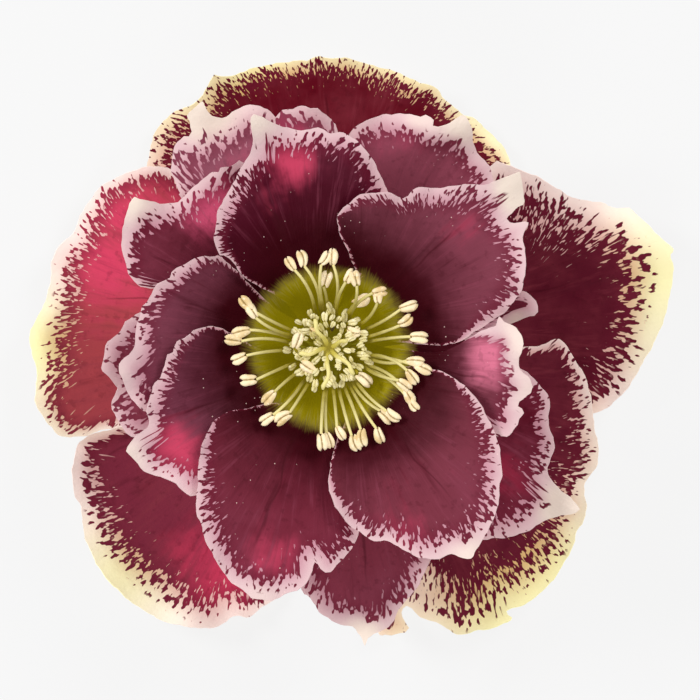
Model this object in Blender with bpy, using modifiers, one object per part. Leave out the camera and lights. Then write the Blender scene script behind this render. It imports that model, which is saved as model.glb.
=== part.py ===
"""A double hellebore bloom, picked close under its sepals and lying face up.

Five broad sepals carry the bloom on the low points of their bowls. Above them a middle ring of eight
petals and an inner ring of seven rise round the throat, and in the throat stand the outer stamens,
the crowded young stamens and the carpels. Everything grows from the receptacle, a short knob with
the cut stub of the stalk under it. Lengths are in millimetres until they are scaled by MM.
"""

import math
import random

import bmesh
import bpy
from mathutils import Vector
from mathutils.geometry import delaunay_2d_cdt, intersect_point_line

MM = 0.001
NAME = "double_hellebore_bloom"

BLADE = 0.6  # thickness of sepals and petals
GAP = 0.3  # clearance between a piece and what carries it

KNOB_RADIUS = 4.0
KNOB_LOW = 4.0
KNOB_TOP = 11.0
STALK_RADIUS = 2.0
STALK_CUT = 0.8  # height of the cut face of the stalk above the surface

ROOT_RADIUS = KNOB_RADIUS + GAP + 0.34
ROOT_HALF_WIDTH = 0.85
LIFT_STARTS, LIFT_FULL = 4.6, 8.0  # radii between which a blade rises to its place in the pile

SEPAL_SPACING, PETAL_SPACING = 3.4, 2.5  # between the corners of a blade's mesh

# Heights of each ring over the surface, by distance from the bloom's axis. The sepals sag to the
# surface, lie flat on it for a few millimetres and cup up again to their margins.
SEPAL_ROOT, SEPAL_SAG, BELLY, SEPAL_CUP = 5.2, 0.1, 22.0, 0.016
MIDDLE_ROOT, MIDDLE_RISE, MIDDLE_TURN = 6.9, 11.0, 13.0
INNER_ROOT, INNER_RISE, INNER_TURN = 9.5, 15.0, 11.0

BURGUNDY = (0.13, 0.014, 0.03, 1.0)
ROSE = (0.2, 0.02, 0.05, 1.0)
CLARET = (0.17, 0.016, 0.022, 1.0)
LEAF_GREEN = (0.28, 0.3, 0.05, 1.0)
CREAM = (0.85, 0.68, 0.42, 1.0)
YELLOW_GREEN = (0.55, 0.55, 0.16, 1.0)

# Each blade: the bearing of its root in degrees, how far it is lifted in the pile, how steeply one
# half is folded up (the anticlockwise half, or the clockwise one if negative), the spots where it
# curls up (x, y and rise), and its margin from one shoulder to the other. Places are seen from
# above, in mm from the bloom's axis.
SEPALS = {
    "sepal_1": (90, 0.0, 0.0, [(-14.1, 33.0, 1.2), (11.0, 32.3, 1.0)], [
        (-7.4, 6.3), (-15.1, 10.4), (-20.5, 16.1), (-22.1, 20.6), (-21.7, 24.4), (-19.8, 28.0),
        (-15.7, 30.3), (-14.1, 33.0), (-8.2, 34.2), (-2.0, 35.3), (3.7, 34.8), (11.0, 32.3),
        (16.4, 28.3), (19.5, 26.2), (21.9, 23.1), (19.8, 18.0), (12.5, 13.0), (5.6, 7.6)]),
    "sepal_2": (13, 0.0, 0.12, [(41.6, 11.9, 1.2), (37.0, -4.0, 0.8)], [
        (8.2, 4.9), (14.5, 12.0), (19.5, 21.8), (23.2, 21.6), (28.0, 19.2), (37.1, 16.3),
        (41.6, 11.9), (41.5, 8.9), (40.3, 2.2), (35.9, -5.2), (31.9, -8.0), (26.0, -8.5),
        (17.5, -4.0), (8.9, -1.0)]),
    "sepal_3": (-44, 0.4, 0.1, [(32.6, -13.0, 1.2), (21.5, -33.1, 1.4)], [
        (8.4, -3.4), (17.1, -2.6), (24.4, 0.2), (27.4, 1.0), (29.0, 0.1), (31.5, -4.9),
        (32.6, -13.0), (30.9, -16.7), (31.2, -19.0), (28.5, -26.0), (25.8, -29.5), (21.5, -33.1),
        (16.0, -34.7), (9.7, -31.4), (9.2, -34.0), (6.0, -34.0), (4.4, -28.1), (3.4, -18.4),
        (3.0, -8.7)]),
    "sepal_4": (236, 0.0, 0.0, [(-31.2, -15.4, 1.2), (-16.3, -33.9, 1.4)], [
        (-8.6, -4.6), (-16.9, -7.6), (-23.0, -9.6), (-28.4, -10.3), (-31.2, -15.4), (-30.0, -20.6),
        (-28.4, -25.7), (-23.8, -30.9), (-16.3, -33.9), (-11.7, -32.6), (-6.5, -30.3),
        (-2.2, -24.5), (-0.9, -17.2), (-1.4, -8.9)]),
    "sepal_5": (166, 1.4, 0.06, [(-36.2, 1.2, 1.4), (-21.7, 22.0, 1.2)], [
        (-8.0, 4.6), (-12.8, 10.9), (-17.5, 18.5), (-21.7, 22.0), (-26.6, 20.3), (-30.7, 15.0),
        (-33.9, 7.6), (-36.2, 1.2), (-35.5, -6.3), (-32.9, -10.6), (-26.4, -9.8), (-18.5, -6.7),
        (-8.9, -1.6)]),
}
MIDDLE = {
    "middle_petal_1": (124, 0.0, 0.0, [(-15.0, 29.4, 2.4), (-8.2, 28.9, 1.0)], [
        (-5.6, 6.9), (-12.4, 12.1), (-17.5, 17.7), (-18.6, 23.6), (-16.3, 25.8), (-16.9, 27.7),
        (-15.0, 29.4), (-14.0, 27.8), (-12.2, 27.6), (-8.2, 28.9), (-6.3, 27.5), (-4.6, 20.4),
        (-3.9, 8.0)]),
    "middle_petal_2": (95, 1.6, 0.0, [(-2.8, 28.8, 1.2)], [
        (-1.8, 8.7), (-4.6, 18.9), (-6.8, 24.8), (-5.5, 28.3), (-2.8, 28.8), (1.1, 26.0),
        (1.5, 18.1), (0.6, 8.7)]),
    "middle_petal_3": (58, 0.0, 0.0, [(12.4, 26.4, 2.4), (16.0, 27.8, 2.0)], [
        (2.6, 8.4), (2.3, 16.5), (2.5, 25.5), (5.9, 27.8), (12.2, 27.5), (12.4, 26.4),
        (16.0, 27.8), (17.7, 23.4), (19.7, 18.9), (16.0, 12.7), (6.7, 5.9)]),
    "middle_petal_4": (16, 0.0, 0.0, [(24.5, 5.0, 2.2)], [
        (7.9, 4.0), (14.5, 6.3), (20.4, 6.9), (24.1, 6.2), (24.5, 3.9), (17.4, 1.2), (8.7, 0.7)]),
    "middle_petal_5": (-33, 0.0, 0.0, [(29.9, -19.2, 2.2), (26.9, -11.0, 1.0)], [
        (8.6, -2.5), (14.5, -1.9), (22.8, -2.5), (26.2, -5.6), (26.9, -11.9), (26.2, -14.8),
        (29.9, -19.2), (25.2, -21.0), (19.8, -22.7), (15.8, -20.6), (9.5, -13.5), (5.4, -7.2)]),
    "middle_petal_6": (-78, 0.0, 0.0, [(4.3, -35.5, 1.6), (11.0, -27.0, 1.0)], [
        (-0.4, -8.8), (-2.6, -17.8), (-3.2, -28.8), (-0.1, -32.2), (2.8, -33.3), (4.3, -35.5),
        (5.4, -34.1), (9.4, -30.1), (12.2, -24.1), (9.4, -17.3), (3.8, -8.3)]),
    "middle_petal_7": (189, 0.0, 0.0, [(-27.0, -2.4, 1.8), (-23.0, -10.7, 1.6)], [
        (-8.8, 1.1), (-14.8, 3.8), (-20.5, 4.6), (-24.3, 3.1), (-27.0, -2.4), (-25.2, -4.8),
        (-26.0, -6.4), (-23.0, -10.7), (-17.6, -8.8), (-8.4, -3.6)]),
    "middle_petal_8": (154, 1.2, 0.0, [(-23.1, 18.0, 2.2), (-13.0, 21.0, 1.6)], [
        (-8.2, 3.2), (-15.0, 6.0), (-22.5, 7.3), (-24.7, 12.3), (-23.1, 18.0), (-18.0, 17.4),
        (-16.2, 19.3), (-10.2, 22.2), (-9.4, 16.0), (-6.8, 5.9)]),
}
INNER = {
    "inner_petal_1": (114, 0.6, 0.15, [(-8.8, 27.6, 2.0), (4.4, 23.4, 1.2)], [
        (-6.4, 6.2), (-12.6, 10.9), (-13.5, 13.7), (-12.9, 17.2), (-9.3, 22.9), (-8.8, 27.6),
        (-4.3, 25.9), (-1.3, 26.1), (2.2, 25.3), (6.4, 19.9), (7.0, 16.5), (4.7, 11.2),
        (1.0, 8.8)]),
    "inner_petal_2": (44, 1.2, 0.15, [(9.9, 18.7, 1.4), (22.5, 20.7, 2.0), (23.0, 8.0, 1.0)], [
        (3.4, 8.2), (1.3, 12.8), (1.6, 16.6), (6.1, 18.3), (8.8, 17.7), (9.9, 18.7), (17.9, 19.3),
        (22.5, 20.7), (23.0, 17.0), (21.2, 15.6), (23.6, 14.7), (23.3, 10.4), (22.2, 5.9),
        (17.3, 1.9), (8.5, 2.0)]),
    "inner_petal_3": (-12, 1.8, 0.15, [(22.8, 1.3, 1.6), (23.8, -5.0, 0.8)], [
        (9.0, 0.2), (15.3, 0.4), (19.9, 3.1), (22.8, 1.3), (22.5, -1.7), (24.1, -4.6),
        (22.4, -6.9), (22.4, -9.1), (20.5, -10.5), (14.2, -7.7), (8.8, -2.9)]),
    "inner_petal_4": (-51, 3.25, 0.05, [(16.8, -24.8, 1.4), (0.5, -18.2, 1.0)], [
        (7.6, -4.4), (14.6, -3.4), (18.5, -7.6), (20.5, -14.4), (20.1, -17.9), (16.8, -24.8),
        (10.8, -24.7), (7.0, -22.8), (3.5, -21.8), (0.5, -18.2), (0.4, -13.5), (3.2, -8.2)]),
    "inner_petal_5": (250, 1.5, -0.15, [(-9.1, -29.5, 1.4), (0.2, -26.4, 1.2)], [
        (-5.0, -7.3), (-12.7, -7.9), (-15.3, -13.5), (-15.7, -19.4), (-13.3, -25.1), (-9.1, -29.5),
        (-3.4, -28.4), (-1.6, -25.4), (0.2, -26.4), (3.4, -22.2), (3.9, -18.0), (2.8, -12.1),
        (-0.7, -8.8)]),
    "inner_petal_6": (205, 0.9, -0.15, [(-23.9, -12.2, 2.0), (-18.1, 0.2, 1.0)], [
        (-9.0, -2.2), (-13.8, 2.6), (-18.1, 0.2), (-20.6, -4.1), (-21.8, -9.7), (-23.9, -12.2),
        (-20.9, -15.0), (-15.6, -17.5), (-11.3, -14.0), (-7.0, -5.4)]),
    "inner_petal_7": (162, 0.0, 0.0, [(-17.3, 9.9, 1.0), (-24.8, -2.6, 1.4)], [
        (-7.6, 4.6), (-12.7, 10.8), (-17.3, 9.9), (-22.1, 4.9), (-23.1, -0.2), (-24.8, -2.6),
        (-21.6, -7.6), (-15.3, -4.6), (-9.2, 1.3)]),
}
CURL_SPREAD = 3.0  # how far from its spot a curl dies away
WAVE, WAVE_DEPTH, WAVES = 0.5, 3.0, 14  # ripples along a margin: height, reach inwards, and per turn

# Stamens and styles stand on low collars, and their roots are sunk into them.
COLLAR_LOW = KNOB_TOP + GAP
COLLAR_TOP = COLLAR_LOW + 1.0
COLLAR_HALF_WIDTH = 0.4
SUNK = 0.7  # depth of a root below its collar's top

OUTER_ROOT, FILAMENT = 3.45, 0.3
OUTER_STAMENS, OUTER_REACH, OUTER_TOP, ANTHER = 36, (7.2, 10.2), (20.4, 21.4), (2.4, 1.2)
NEAR_STAMENS, NEAR_REACH, NEAR_TOP, NEAR_ANTHER = 8, (6.2, 7.2), (19.2, 19.6), (2.0, 1.2)
YOUNG_ROOT, YOUNG_RINGS, YOUNG_TOP, YOUNG_ANTHER = 2.05, ((2.1, 9), (2.9, 16)), (16.6, 17.2), (1.2, 1.0)
STYLES, STYLE_FIRST = 5, 20
CARPEL_CORE = ((0.0, 16.0), (0.9, 15.2), (1.3, 13.0), (1.3, COLLAR_LOW), (0.0, COLLAR_LOW))
STYLE_PATH = (  # distance from the axis, height, radius
    (0.5, 14.0, 0.45), (0.6, 17.5, 0.4), (1.3, 19.2, 0.36), (2.7, 20.1, 0.34), (4.2, 20.2, 0.4),
    (4.6, 20.1, 0.2))


def clear_scene():
    for old in list(bpy.data.objects):
        bpy.data.objects.remove(old, do_unlink=True)


def collection(name, parent):
    made = bpy.data.collections.new(name)
    parent.children.link(made)
    return made


def material(name, colour, roughness):
    made = bpy.data.materials.new(name)
    made.use_nodes = True
    shader = made.node_tree.nodes["Principled BSDF"]
    shader.inputs["Base Color"].default_value = colour
    shader.inputs["Roughness"].default_value = roughness
    made.diffuse_color = colour
    return made


def ease(value, start, end):
    """0 before start, 1 after end, smooth between."""
    t = min(max((value - start) / (end - start), 0.0), 1.0)
    return t * t * (3 - 2 * t)


def sepal_height(r):
    sag = SEPAL_SAG + SEPAL_ROOT * (1 - ease(r, 0.7 * ROOT_RADIUS, BELLY))
    return max(sag + SEPAL_CUP * max(0.0, r - BELLY) ** 2, 0.5 * BLADE)


def middle_height(r):
    return MIDDLE_ROOT + MIDDLE_RISE * (1 - math.exp(-(r - ROOT_RADIUS) / MIDDLE_TURN))


def inner_height(r):
    return INNER_ROOT + INNER_RISE * (1 - math.exp(-(r - ROOT_RADIUS) / INNER_TURN))


def smooth_line(points, spacing):
    """A Catmull-Rom curve through the points, which keeps each one, with no longer steps than spacing."""
    padded = [2 * points[0] - points[1], *points, 2 * points[-1] - points[-2]]
    line = []
    for a, b, c, d in zip(padded, padded[1:], padded[2:], padded[3:]):
        steps = max(1, round((c - b).length / spacing))
        for k in range(steps):
            t = k / steps
            bend = 2 * a - 5 * b + 4 * c - d
            line.append(b + 0.5 * t * ((c - a) + t * (bend + t * (3 * (b - c) + d - a))))
    return [*line, points[-1]]


def inside(place, outline):
    """Whether a place lies within a closed outline, by counting the sides that a ray crosses."""
    crossed = False
    for a, b in zip(outline, outline[1:] + outline[:1]):
        if (a.y > place.y) != (b.y > place.y):
            crossed ^= place.x < a.x + (place.y - a.y) * (b.x - a.x) / (b.y - a.y)
    return crossed


def from_edge(place, outline):
    """How far a place lies from an outline."""
    nearest = math.inf
    for a, b in zip(outline, outline[1:] + outline[:1]):
        _, share = intersect_point_line(place, a, b)
        foot = a.lerp(b, min(max(share, 0.0), 1.0))
        nearest = min(nearest, (place - foot).length)
    return nearest


def outline_of(bearing, points, spacing):
    """A blade's closed outline, from its narrow root out round its margin."""
    way = math.radians(bearing)
    half = ROOT_HALF_WIDTH / ROOT_RADIUS
    aside = Vector((-math.sin(way), math.cos(way)))
    first = points[0].dot(aside) > points[-1].dot(aside)
    turns = (half, -half) if first else (-half, half)
    roots = [ROOT_RADIUS * Vector((math.cos(way + turn), math.sin(way + turn))) for turn in turns]
    return smooth_line([roots[0], *points, roots[1]], spacing)


def filled(outline, way, spacing):
    """Triangles that fill an outline, with a honeycomb of points inside it."""
    places = list(outline)
    out = Vector((math.cos(way), math.sin(way)))
    aside = Vector((-out.y, out.x))
    for row in range(60):
        for column in range(-40, 41):
            shift = 0.5 * (row % 2)
            place = out * (row * spacing * 0.87) + aside * ((column + shift) * spacing)
            if inside(place, outline) and from_edge(place, outline) > 0.55 * spacing:
                places.append(place)
    made = delaunay_2d_cdt(places, [], [range(len(outline))], 1, 1e-6)
    return made[0], made[2]


def rise_at(place, spec, ring, outline):
    """How high a blade stands at a place: its ring's bowl, its place in the pile, and its ripples."""
    bearing, lift, fold, curls, _ = spec
    way = math.radians(bearing)
    r = place.length
    raised = max(0.0, fold * place.dot(Vector((-math.sin(way), math.cos(way)))))
    z = ring["height"](r) + (lift + raised) * ease(r, LIFT_STARTS, LIFT_FULL)
    turn = math.atan2(place.y, place.x) - way
    near = math.exp(-from_edge(place, outline) / WAVE_DEPTH)
    near *= ease(math.cos(turn), 0.6, 0.9) * ease(r, *ring["waves"])
    z += WAVE * near * math.sin(WAVES * turn + way)
    for x, y, rise in curls:
        away = (place - Vector((x, y))).length / CURL_SPREAD
        z += rise * math.exp(-away * away)
    return z


def blade(name, spec, ring, parts):
    """A sepal or petal: its outline filled with triangles, laid on its ring's bowl and thickened."""
    outline = outline_of(spec[0], [Vector(p) for p in spec[-1]], ring["spacing"])
    places, faces = filled(outline, math.radians(spec[0]), ring["spacing"])
    mesh = bpy.data.meshes.new(name)
    points = [(p.x * MM, p.y * MM, rise_at(p, spec, ring, outline) * MM) for p in places]
    mesh.from_pydata(points, [], faces)
    made = bpy.data.objects.new(name, mesh)
    mesh.materials.append(ring["look"])
    parts.objects.link(made)
    wall = made.modifiers.new("thickness", "SOLIDIFY")
    wall.thickness = BLADE * MM
    wall.offset = 0.0
    return made


def turned(name, profile, look, parts):
    """A profile of (radius, height) points, from the top down, turned round the bloom's axis."""
    mesh = bpy.data.meshes.new(name)
    ring = profile[0] == profile[-1]
    corners = profile[:-1] if ring else profile
    edges = [(k, (k + 1) % len(corners)) for k in range(len(profile) - 1)]
    mesh.from_pydata([(r * MM, 0, z * MM) for r, z in corners], edges, [])
    made = bpy.data.objects.new(name, mesh)
    mesh.materials.append(look)
    parts.objects.link(made)
    screw = made.modifiers.new("turn", "SCREW")
    screw.steps = screw.render_steps = 24
    screw.use_merge_vertices = True
    screw.merge_threshold = 1e-5
    return made


def strand(name, path, parts):
    """A thread of (place, radius) points, as a closed four-sided mesh."""
    curve = bpy.data.curves.new(name, "CURVE")
    curve.dimensions = "3D"
    curve.bevel_depth = MM
    curve.bevel_resolution = 0
    curve.use_fill_caps = True
    spline = curve.splines.new("POLY")
    spline.points.add(len(path) - 1)
    for point, (place, radius) in zip(spline.points, path):
        point.co = (*(place * MM), 1)
        point.radius = radius
    guide = bpy.data.objects.new(name, curve)
    parts.objects.link(guide)
    graph = bpy.context.evaluated_depsgraph_get()
    mesh = bpy.data.meshes.new_from_object(guide.evaluated_get(graph))
    bpy.data.objects.remove(guide)
    bm = bmesh.new()
    bm.from_mesh(mesh)
    bmesh.ops.remove_doubles(bm, verts=bm.verts[:], dist=1e-7)
    bmesh.ops.recalc_face_normals(bm, faces=bm.faces[:])
    bm.to_mesh(mesh)
    bm.free()
    made = bpy.data.objects.new(name, mesh)
    parts.objects.link(made)
    return made


def around(r, z, bearing):
    return Vector((r * math.cos(bearing), r * math.sin(bearing), z))


def collar(name, radius, look, parts):
    """The low ring that a circle of stamens stands on."""
    outside, within = radius + COLLAR_HALF_WIDTH, radius - COLLAR_HALF_WIDTH
    profile = [(outside, COLLAR_TOP), (outside, COLLAR_LOW), (within, COLLAR_LOW),
               (within, COLLAR_TOP), (outside, COLLAR_TOP)]
    return turned(name, profile, look, parts)


def stamen(path, anther, helpers):
    """A filament along a path of places, with an anther beyond its last one."""
    length, width = anther
    tip = path[-1]
    onward = (tip - path[-2]).normalized()
    thread = [(place, FILAMENT) for place in path]
    for share, fat in ((0.3, 1.0), (0.75, 0.9), (1.0, 0.4)):
        thread.append((tip + onward * length * share, 0.5 * width * fat))
    return strand("thread", thread, helpers)


def arch(root, reach, top, bearing, sway):
    """Places along a filament that rises from the circle of roots and arches out to its reach."""
    path = []
    for share in (0.0, 0.4, 0.75, 1.0):
        r = root + (reach - root) * share ** 1.25
        z = COLLAR_TOP - SUNK + (top - COLLAR_LOW) * math.sin(share * math.pi / 2) ** 0.8
        path.append(around(r, z, bearing + sway * share))
    return path


def fuse(base, strands, helpers):
    """Joins the strands to the base as one body, and removes them."""
    join = base.modifiers.new("join", "BOOLEAN")
    join.operation = "UNION"
    join.operand_type = "COLLECTION"
    join.collection = helpers
    join.solver = "MANIFOLD"
    graph = bpy.context.evaluated_depsgraph_get()
    mesh = bpy.data.meshes.new_from_object(base.evaluated_get(graph))
    base.modifiers.clear()
    base.data = mesh
    for made in strands:
        bpy.data.objects.remove(made)
    return base


def outer_stamens(look, parts, helpers):
    chance = random.Random(11)
    base = collar("outer_stamens", OUTER_ROOT, look, parts)
    made = []
    for count, reach, top, anther in (
            (OUTER_STAMENS, OUTER_REACH, OUTER_TOP, ANTHER),
            (NEAR_STAMENS, NEAR_REACH, NEAR_TOP, NEAR_ANTHER)):
        for k in range(count):
            bearing = math.tau * (k + chance.uniform(-0.3, 0.3)) / count
            path = arch(OUTER_ROOT, chance.uniform(*reach), chance.uniform(*top), bearing,
                        chance.uniform(-0.08, 0.08))
            made.append(stamen(path, anther, helpers))
    return fuse(base, made, helpers)


def young_stamens(look, parts, helpers):
    chance = random.Random(5)
    base = collar("young_stamens", YOUNG_ROOT, look, parts)
    made = []
    for radius, count in YOUNG_RINGS:
        for k in range(count):
            bearing = math.tau * (k + chance.uniform(-0.3, 0.3)) / count
            low = around(YOUNG_ROOT, COLLAR_TOP - SUNK, bearing)
            high = around(radius, chance.uniform(*YOUNG_TOP) - 0.5 * radius, bearing)
            made.append(stamen([low, high], YOUNG_ANTHER, helpers))
    return fuse(base, made, helpers)


def carpels(look, parts, helpers):
    base = turned("carpels", CARPEL_CORE, look, parts)
    made = []
    for k in range(STYLES):
        bearing = math.radians(STYLE_FIRST) + math.tau * k / STYLES
        path = [(around(r, z, bearing), radius) for r, z, radius in STYLE_PATH]
        made.append(strand("thread", path, helpers))
    return fuse(base, made, helpers)


def receptacle(look, parts):
    profile = [
        (0.0, KNOB_TOP), (KNOB_RADIUS, KNOB_TOP), (KNOB_RADIUS, KNOB_LOW),
        (STALK_RADIUS + 0.4, KNOB_LOW - 0.8), (STALK_RADIUS, STALK_CUT + 1.2),
        (STALK_RADIUS, STALK_CUT), (0.0, STALK_CUT),
    ]
    return turned("receptacle", profile, look, parts)


def rings():
    """What each ring's blades share: their bowl, how far out the ripples start, and their looks."""
    return (
        {"blades": SEPALS, "height": sepal_height, "waves": (26, 32), "spacing": SEPAL_SPACING,
         "look": material("sepal", CLARET, 0.5)},
        {"blades": MIDDLE, "height": middle_height, "waves": (12, 20), "spacing": PETAL_SPACING,
         "look": material("middle_petal", ROSE, 0.5)},
        {"blades": INNER, "height": inner_height, "waves": (12, 20), "spacing": PETAL_SPACING,
         "look": material("inner_petal", BURGUNDY, 0.5)},
    )


def centre(parts):
    """Moves the whole bloom so that the middle of its box stands over the origin."""
    graph = bpy.context.evaluated_depsgraph_get()
    corners = [Vector(corner) for made in parts.objects for corner in made.evaluated_get(graph).bound_box]
    middle = [(min(c[k] for c in corners) + max(c[k] for c in corners)) / 2 for k in (0, 1)]
    for made in parts.objects:
        made.location = (-middle[0], -middle[1], 0)


def main():
    clear_scene()
    parts = collection(NAME, bpy.context.scene.collection)
    helpers = collection("threads", bpy.context.scene.collection)
    receptacle(material("receptacle", LEAF_GREEN, 0.6), parts)
    for ring in rings():
        for name, spec in ring["blades"].items():
            blade(name, spec, ring, parts)
    outer_stamens(material("stamen", CREAM, 0.6), parts, helpers)
    young_stamens(material("young_stamen", CREAM, 0.6), parts, helpers)
    carpels(material("carpel", YELLOW_GREEN, 0.5), parts, helpers)
    centre(parts)


main()
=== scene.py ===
# %% [markdown]
# # A double hellebore bloom, seen from above
# The bloom is a stack of thin blades: five sepals below, eight petals in a middle ring and seven in an
# inner ring, round a throat full of stamens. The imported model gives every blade's place and size. Here
# each one is made again with a fine, torn margin, a thin edge and its own colouring, and the stamens
# get real anthers. Nothing is moved: each new piece stands where its solid stands.

# %% Load the frame
import math
import random

import bpy
import numpy as np
from mathutils import Matrix, Vector
from mathutils.geometry import delaunay_2d_cdt


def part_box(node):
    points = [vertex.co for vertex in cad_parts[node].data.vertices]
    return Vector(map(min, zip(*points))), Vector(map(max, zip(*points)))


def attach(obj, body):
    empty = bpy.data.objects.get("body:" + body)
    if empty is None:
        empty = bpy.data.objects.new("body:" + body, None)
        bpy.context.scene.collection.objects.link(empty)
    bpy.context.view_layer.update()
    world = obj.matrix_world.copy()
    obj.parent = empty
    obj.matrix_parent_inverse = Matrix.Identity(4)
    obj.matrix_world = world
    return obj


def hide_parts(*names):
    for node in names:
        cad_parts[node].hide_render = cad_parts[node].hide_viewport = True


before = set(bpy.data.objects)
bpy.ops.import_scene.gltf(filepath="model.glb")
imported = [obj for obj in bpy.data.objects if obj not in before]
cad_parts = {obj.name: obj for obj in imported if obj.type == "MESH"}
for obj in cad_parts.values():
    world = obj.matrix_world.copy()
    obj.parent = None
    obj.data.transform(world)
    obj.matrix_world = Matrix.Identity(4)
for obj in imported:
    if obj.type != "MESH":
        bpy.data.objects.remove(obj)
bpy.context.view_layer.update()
bpy.ops.object.select_all(action="DESELECT")

MM = 0.001
low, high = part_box("receptacle")
AXIS = Vector(((low.x + high.x) / 2, (low.y + high.y) / 2, 0))
KNOB_RADIUS = (high.x - low.x) / 2 / MM
KNOB_TOP = high.z / MM
print("bloom axis at", [round(v / MM, 2) for v in AXIS.xy], "mm, knob", round(KNOB_TOP, 1), "mm high")

# %% [markdown]
# ## Camera
# The photograph looks straight down into the throat, from far enough away that the high petals are only
# a little larger than the low ones. So the camera hangs 0.8 m over the surface with a long lens, and the
# lens is worked out from the scale: how many pixels one millimetre of the surface takes up.

# %% Camera
IMAGE = 700                    # pixels across
SCALE = 8.2                    # pixels to a millimetre, at the surface
SENSOR = 36.0                  # mm
CAMERA_HEIGHT = 0.8            # m
LOOK_AT = (2.53, -0.24)        # mm from the bloom's axis to the middle of the view

camera_data = bpy.data.cameras.new("camera")
camera = bpy.data.objects.new("camera", camera_data)
bpy.context.scene.collection.objects.link(camera)
camera_data.sensor_width = SENSOR
camera_data.lens = SCALE * CAMERA_HEIGHT / MM * SENSOR / IMAGE
camera.location = (AXIS.x + LOOK_AT[0] * MM, AXIS.y + LOOK_AT[1] * MM, CAMERA_HEIGHT)
bpy.context.scene.camera = camera
print("lens", round(camera_data.lens, 1), "mm")

# %% [markdown]
# ## Floor and light
# The floor is one pale sheet. Soft light comes from a bright sky all round and three wide lamps, so the
# petals shade each other at their roots and catch light along their rims. The floor glows a little by
# itself, or it would turn grey. The view transform is the plain one, so that the colours on the petals
# are the colours in the materials.

# %% Floor and sky
FLOOR_SIZE, FLOOR_GLOW, SKY = 3.0, 0.825, 0.42


def tint(code):
    """A linear colour from six hexadecimal digits as a screen shows them."""
    parts = [int(code[k:k + 2], 16) / 255 for k in (0, 2, 4)]
    return (*(p / 12.92 if p < 0.04045 else ((p + 0.055) / 1.055) ** 2.4 for p in parts), 1.0)


bpy.context.scene.view_settings.view_transform = "Standard"
bpy.ops.mesh.primitive_plane_add(size=FLOOR_SIZE)
floor = bpy.context.object
floor.name = "floor"
floor_material = bpy.data.materials.new("floor")
floor_material.use_nodes = True
floor.data.materials.append(floor_material)
floor_looks = {"Base Color": tint("595959"), "Roughness": 1.0, "Specular IOR Level": 0.0,
               "Emission Color": tint("ffffff"), "Emission Strength": FLOOR_GLOW}
for name, value in floor_looks.items():
    floor_material.node_tree.nodes["Principled BSDF"].inputs[name].default_value = value

world = bpy.data.worlds.new("studio")
bpy.context.scene.world = world
world.use_nodes = True
sky = world.node_tree.nodes["Background"]
sky.inputs["Color"].default_value = tint("ffffff")
sky.inputs["Strength"].default_value = SKY
print("floor", FLOOR_SIZE, "m wide under a sky of", SKY)


# %% Lamps
def lamp(name, place, size, power):
    """A square lamp that faces the bloom: its place and size in metres, its power in watts."""
    data = bpy.data.lights.new(name, "AREA")
    data.size = size
    data.energy = power
    made = bpy.data.objects.new(name, data)
    made.location = place
    made.rotation_euler = (-Vector(place)).to_track_quat("-Z", "Y").to_euler()
    bpy.context.scene.collection.objects.link(made)
    print(name, power, "W")


lamp("left lamp", (-0.55, 0.25, 0.5), 0.25, 3.2)
lamp("right lamp", (0.45, 0.4, 0.6), 0.3, 2.6)
lamp("near lamp", (-0.1, -0.6, 0.55), 0.3, 1.4)

# %% [markdown]
# ## Shader sums in plain Python
# A petal's pattern is a sum of distances and noises. Wiring Math nodes by hand hides the sum, so a small
# class wraps a socket: adding or multiplying two wires adds the Math node that does it. A second class
# holds one material's nodes and has one method for every other kind of node.

# %% Wires
class Wire:
    """A socket in a node tree that can be added, taken away, multiplied and divided."""

    def __init__(self, tree, socket):
        self.tree = tree
        self.socket = socket

    def sum(self, operation, first, second):
        math_node = self.tree.nodes.new("ShaderNodeMath")
        math_node.operation = operation
        for value, into in zip((first, second), math_node.inputs):
            if isinstance(value, Wire):
                self.tree.links.new(value.socket, into)
            else:
                into.default_value = value
        return Wire(self.tree, math_node.outputs[0])

    def __add__(self, other):
        return self.sum("ADD", self, other)

    def __radd__(self, other):
        return self.sum("ADD", other, self)

    def __sub__(self, other):
        return self.sum("SUBTRACT", self, other)

    def __rsub__(self, other):
        return self.sum("SUBTRACT", other, self)

    def __mul__(self, other):
        return self.sum("MULTIPLY", self, other)

    def __rmul__(self, other):
        return self.sum("MULTIPLY", other, self)

    def __truediv__(self, other):
        return self.sum("DIVIDE", self, other)

    def size(self):
        return self.sum("ABSOLUTE", self, 0.0)


print("wires ready")


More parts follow.
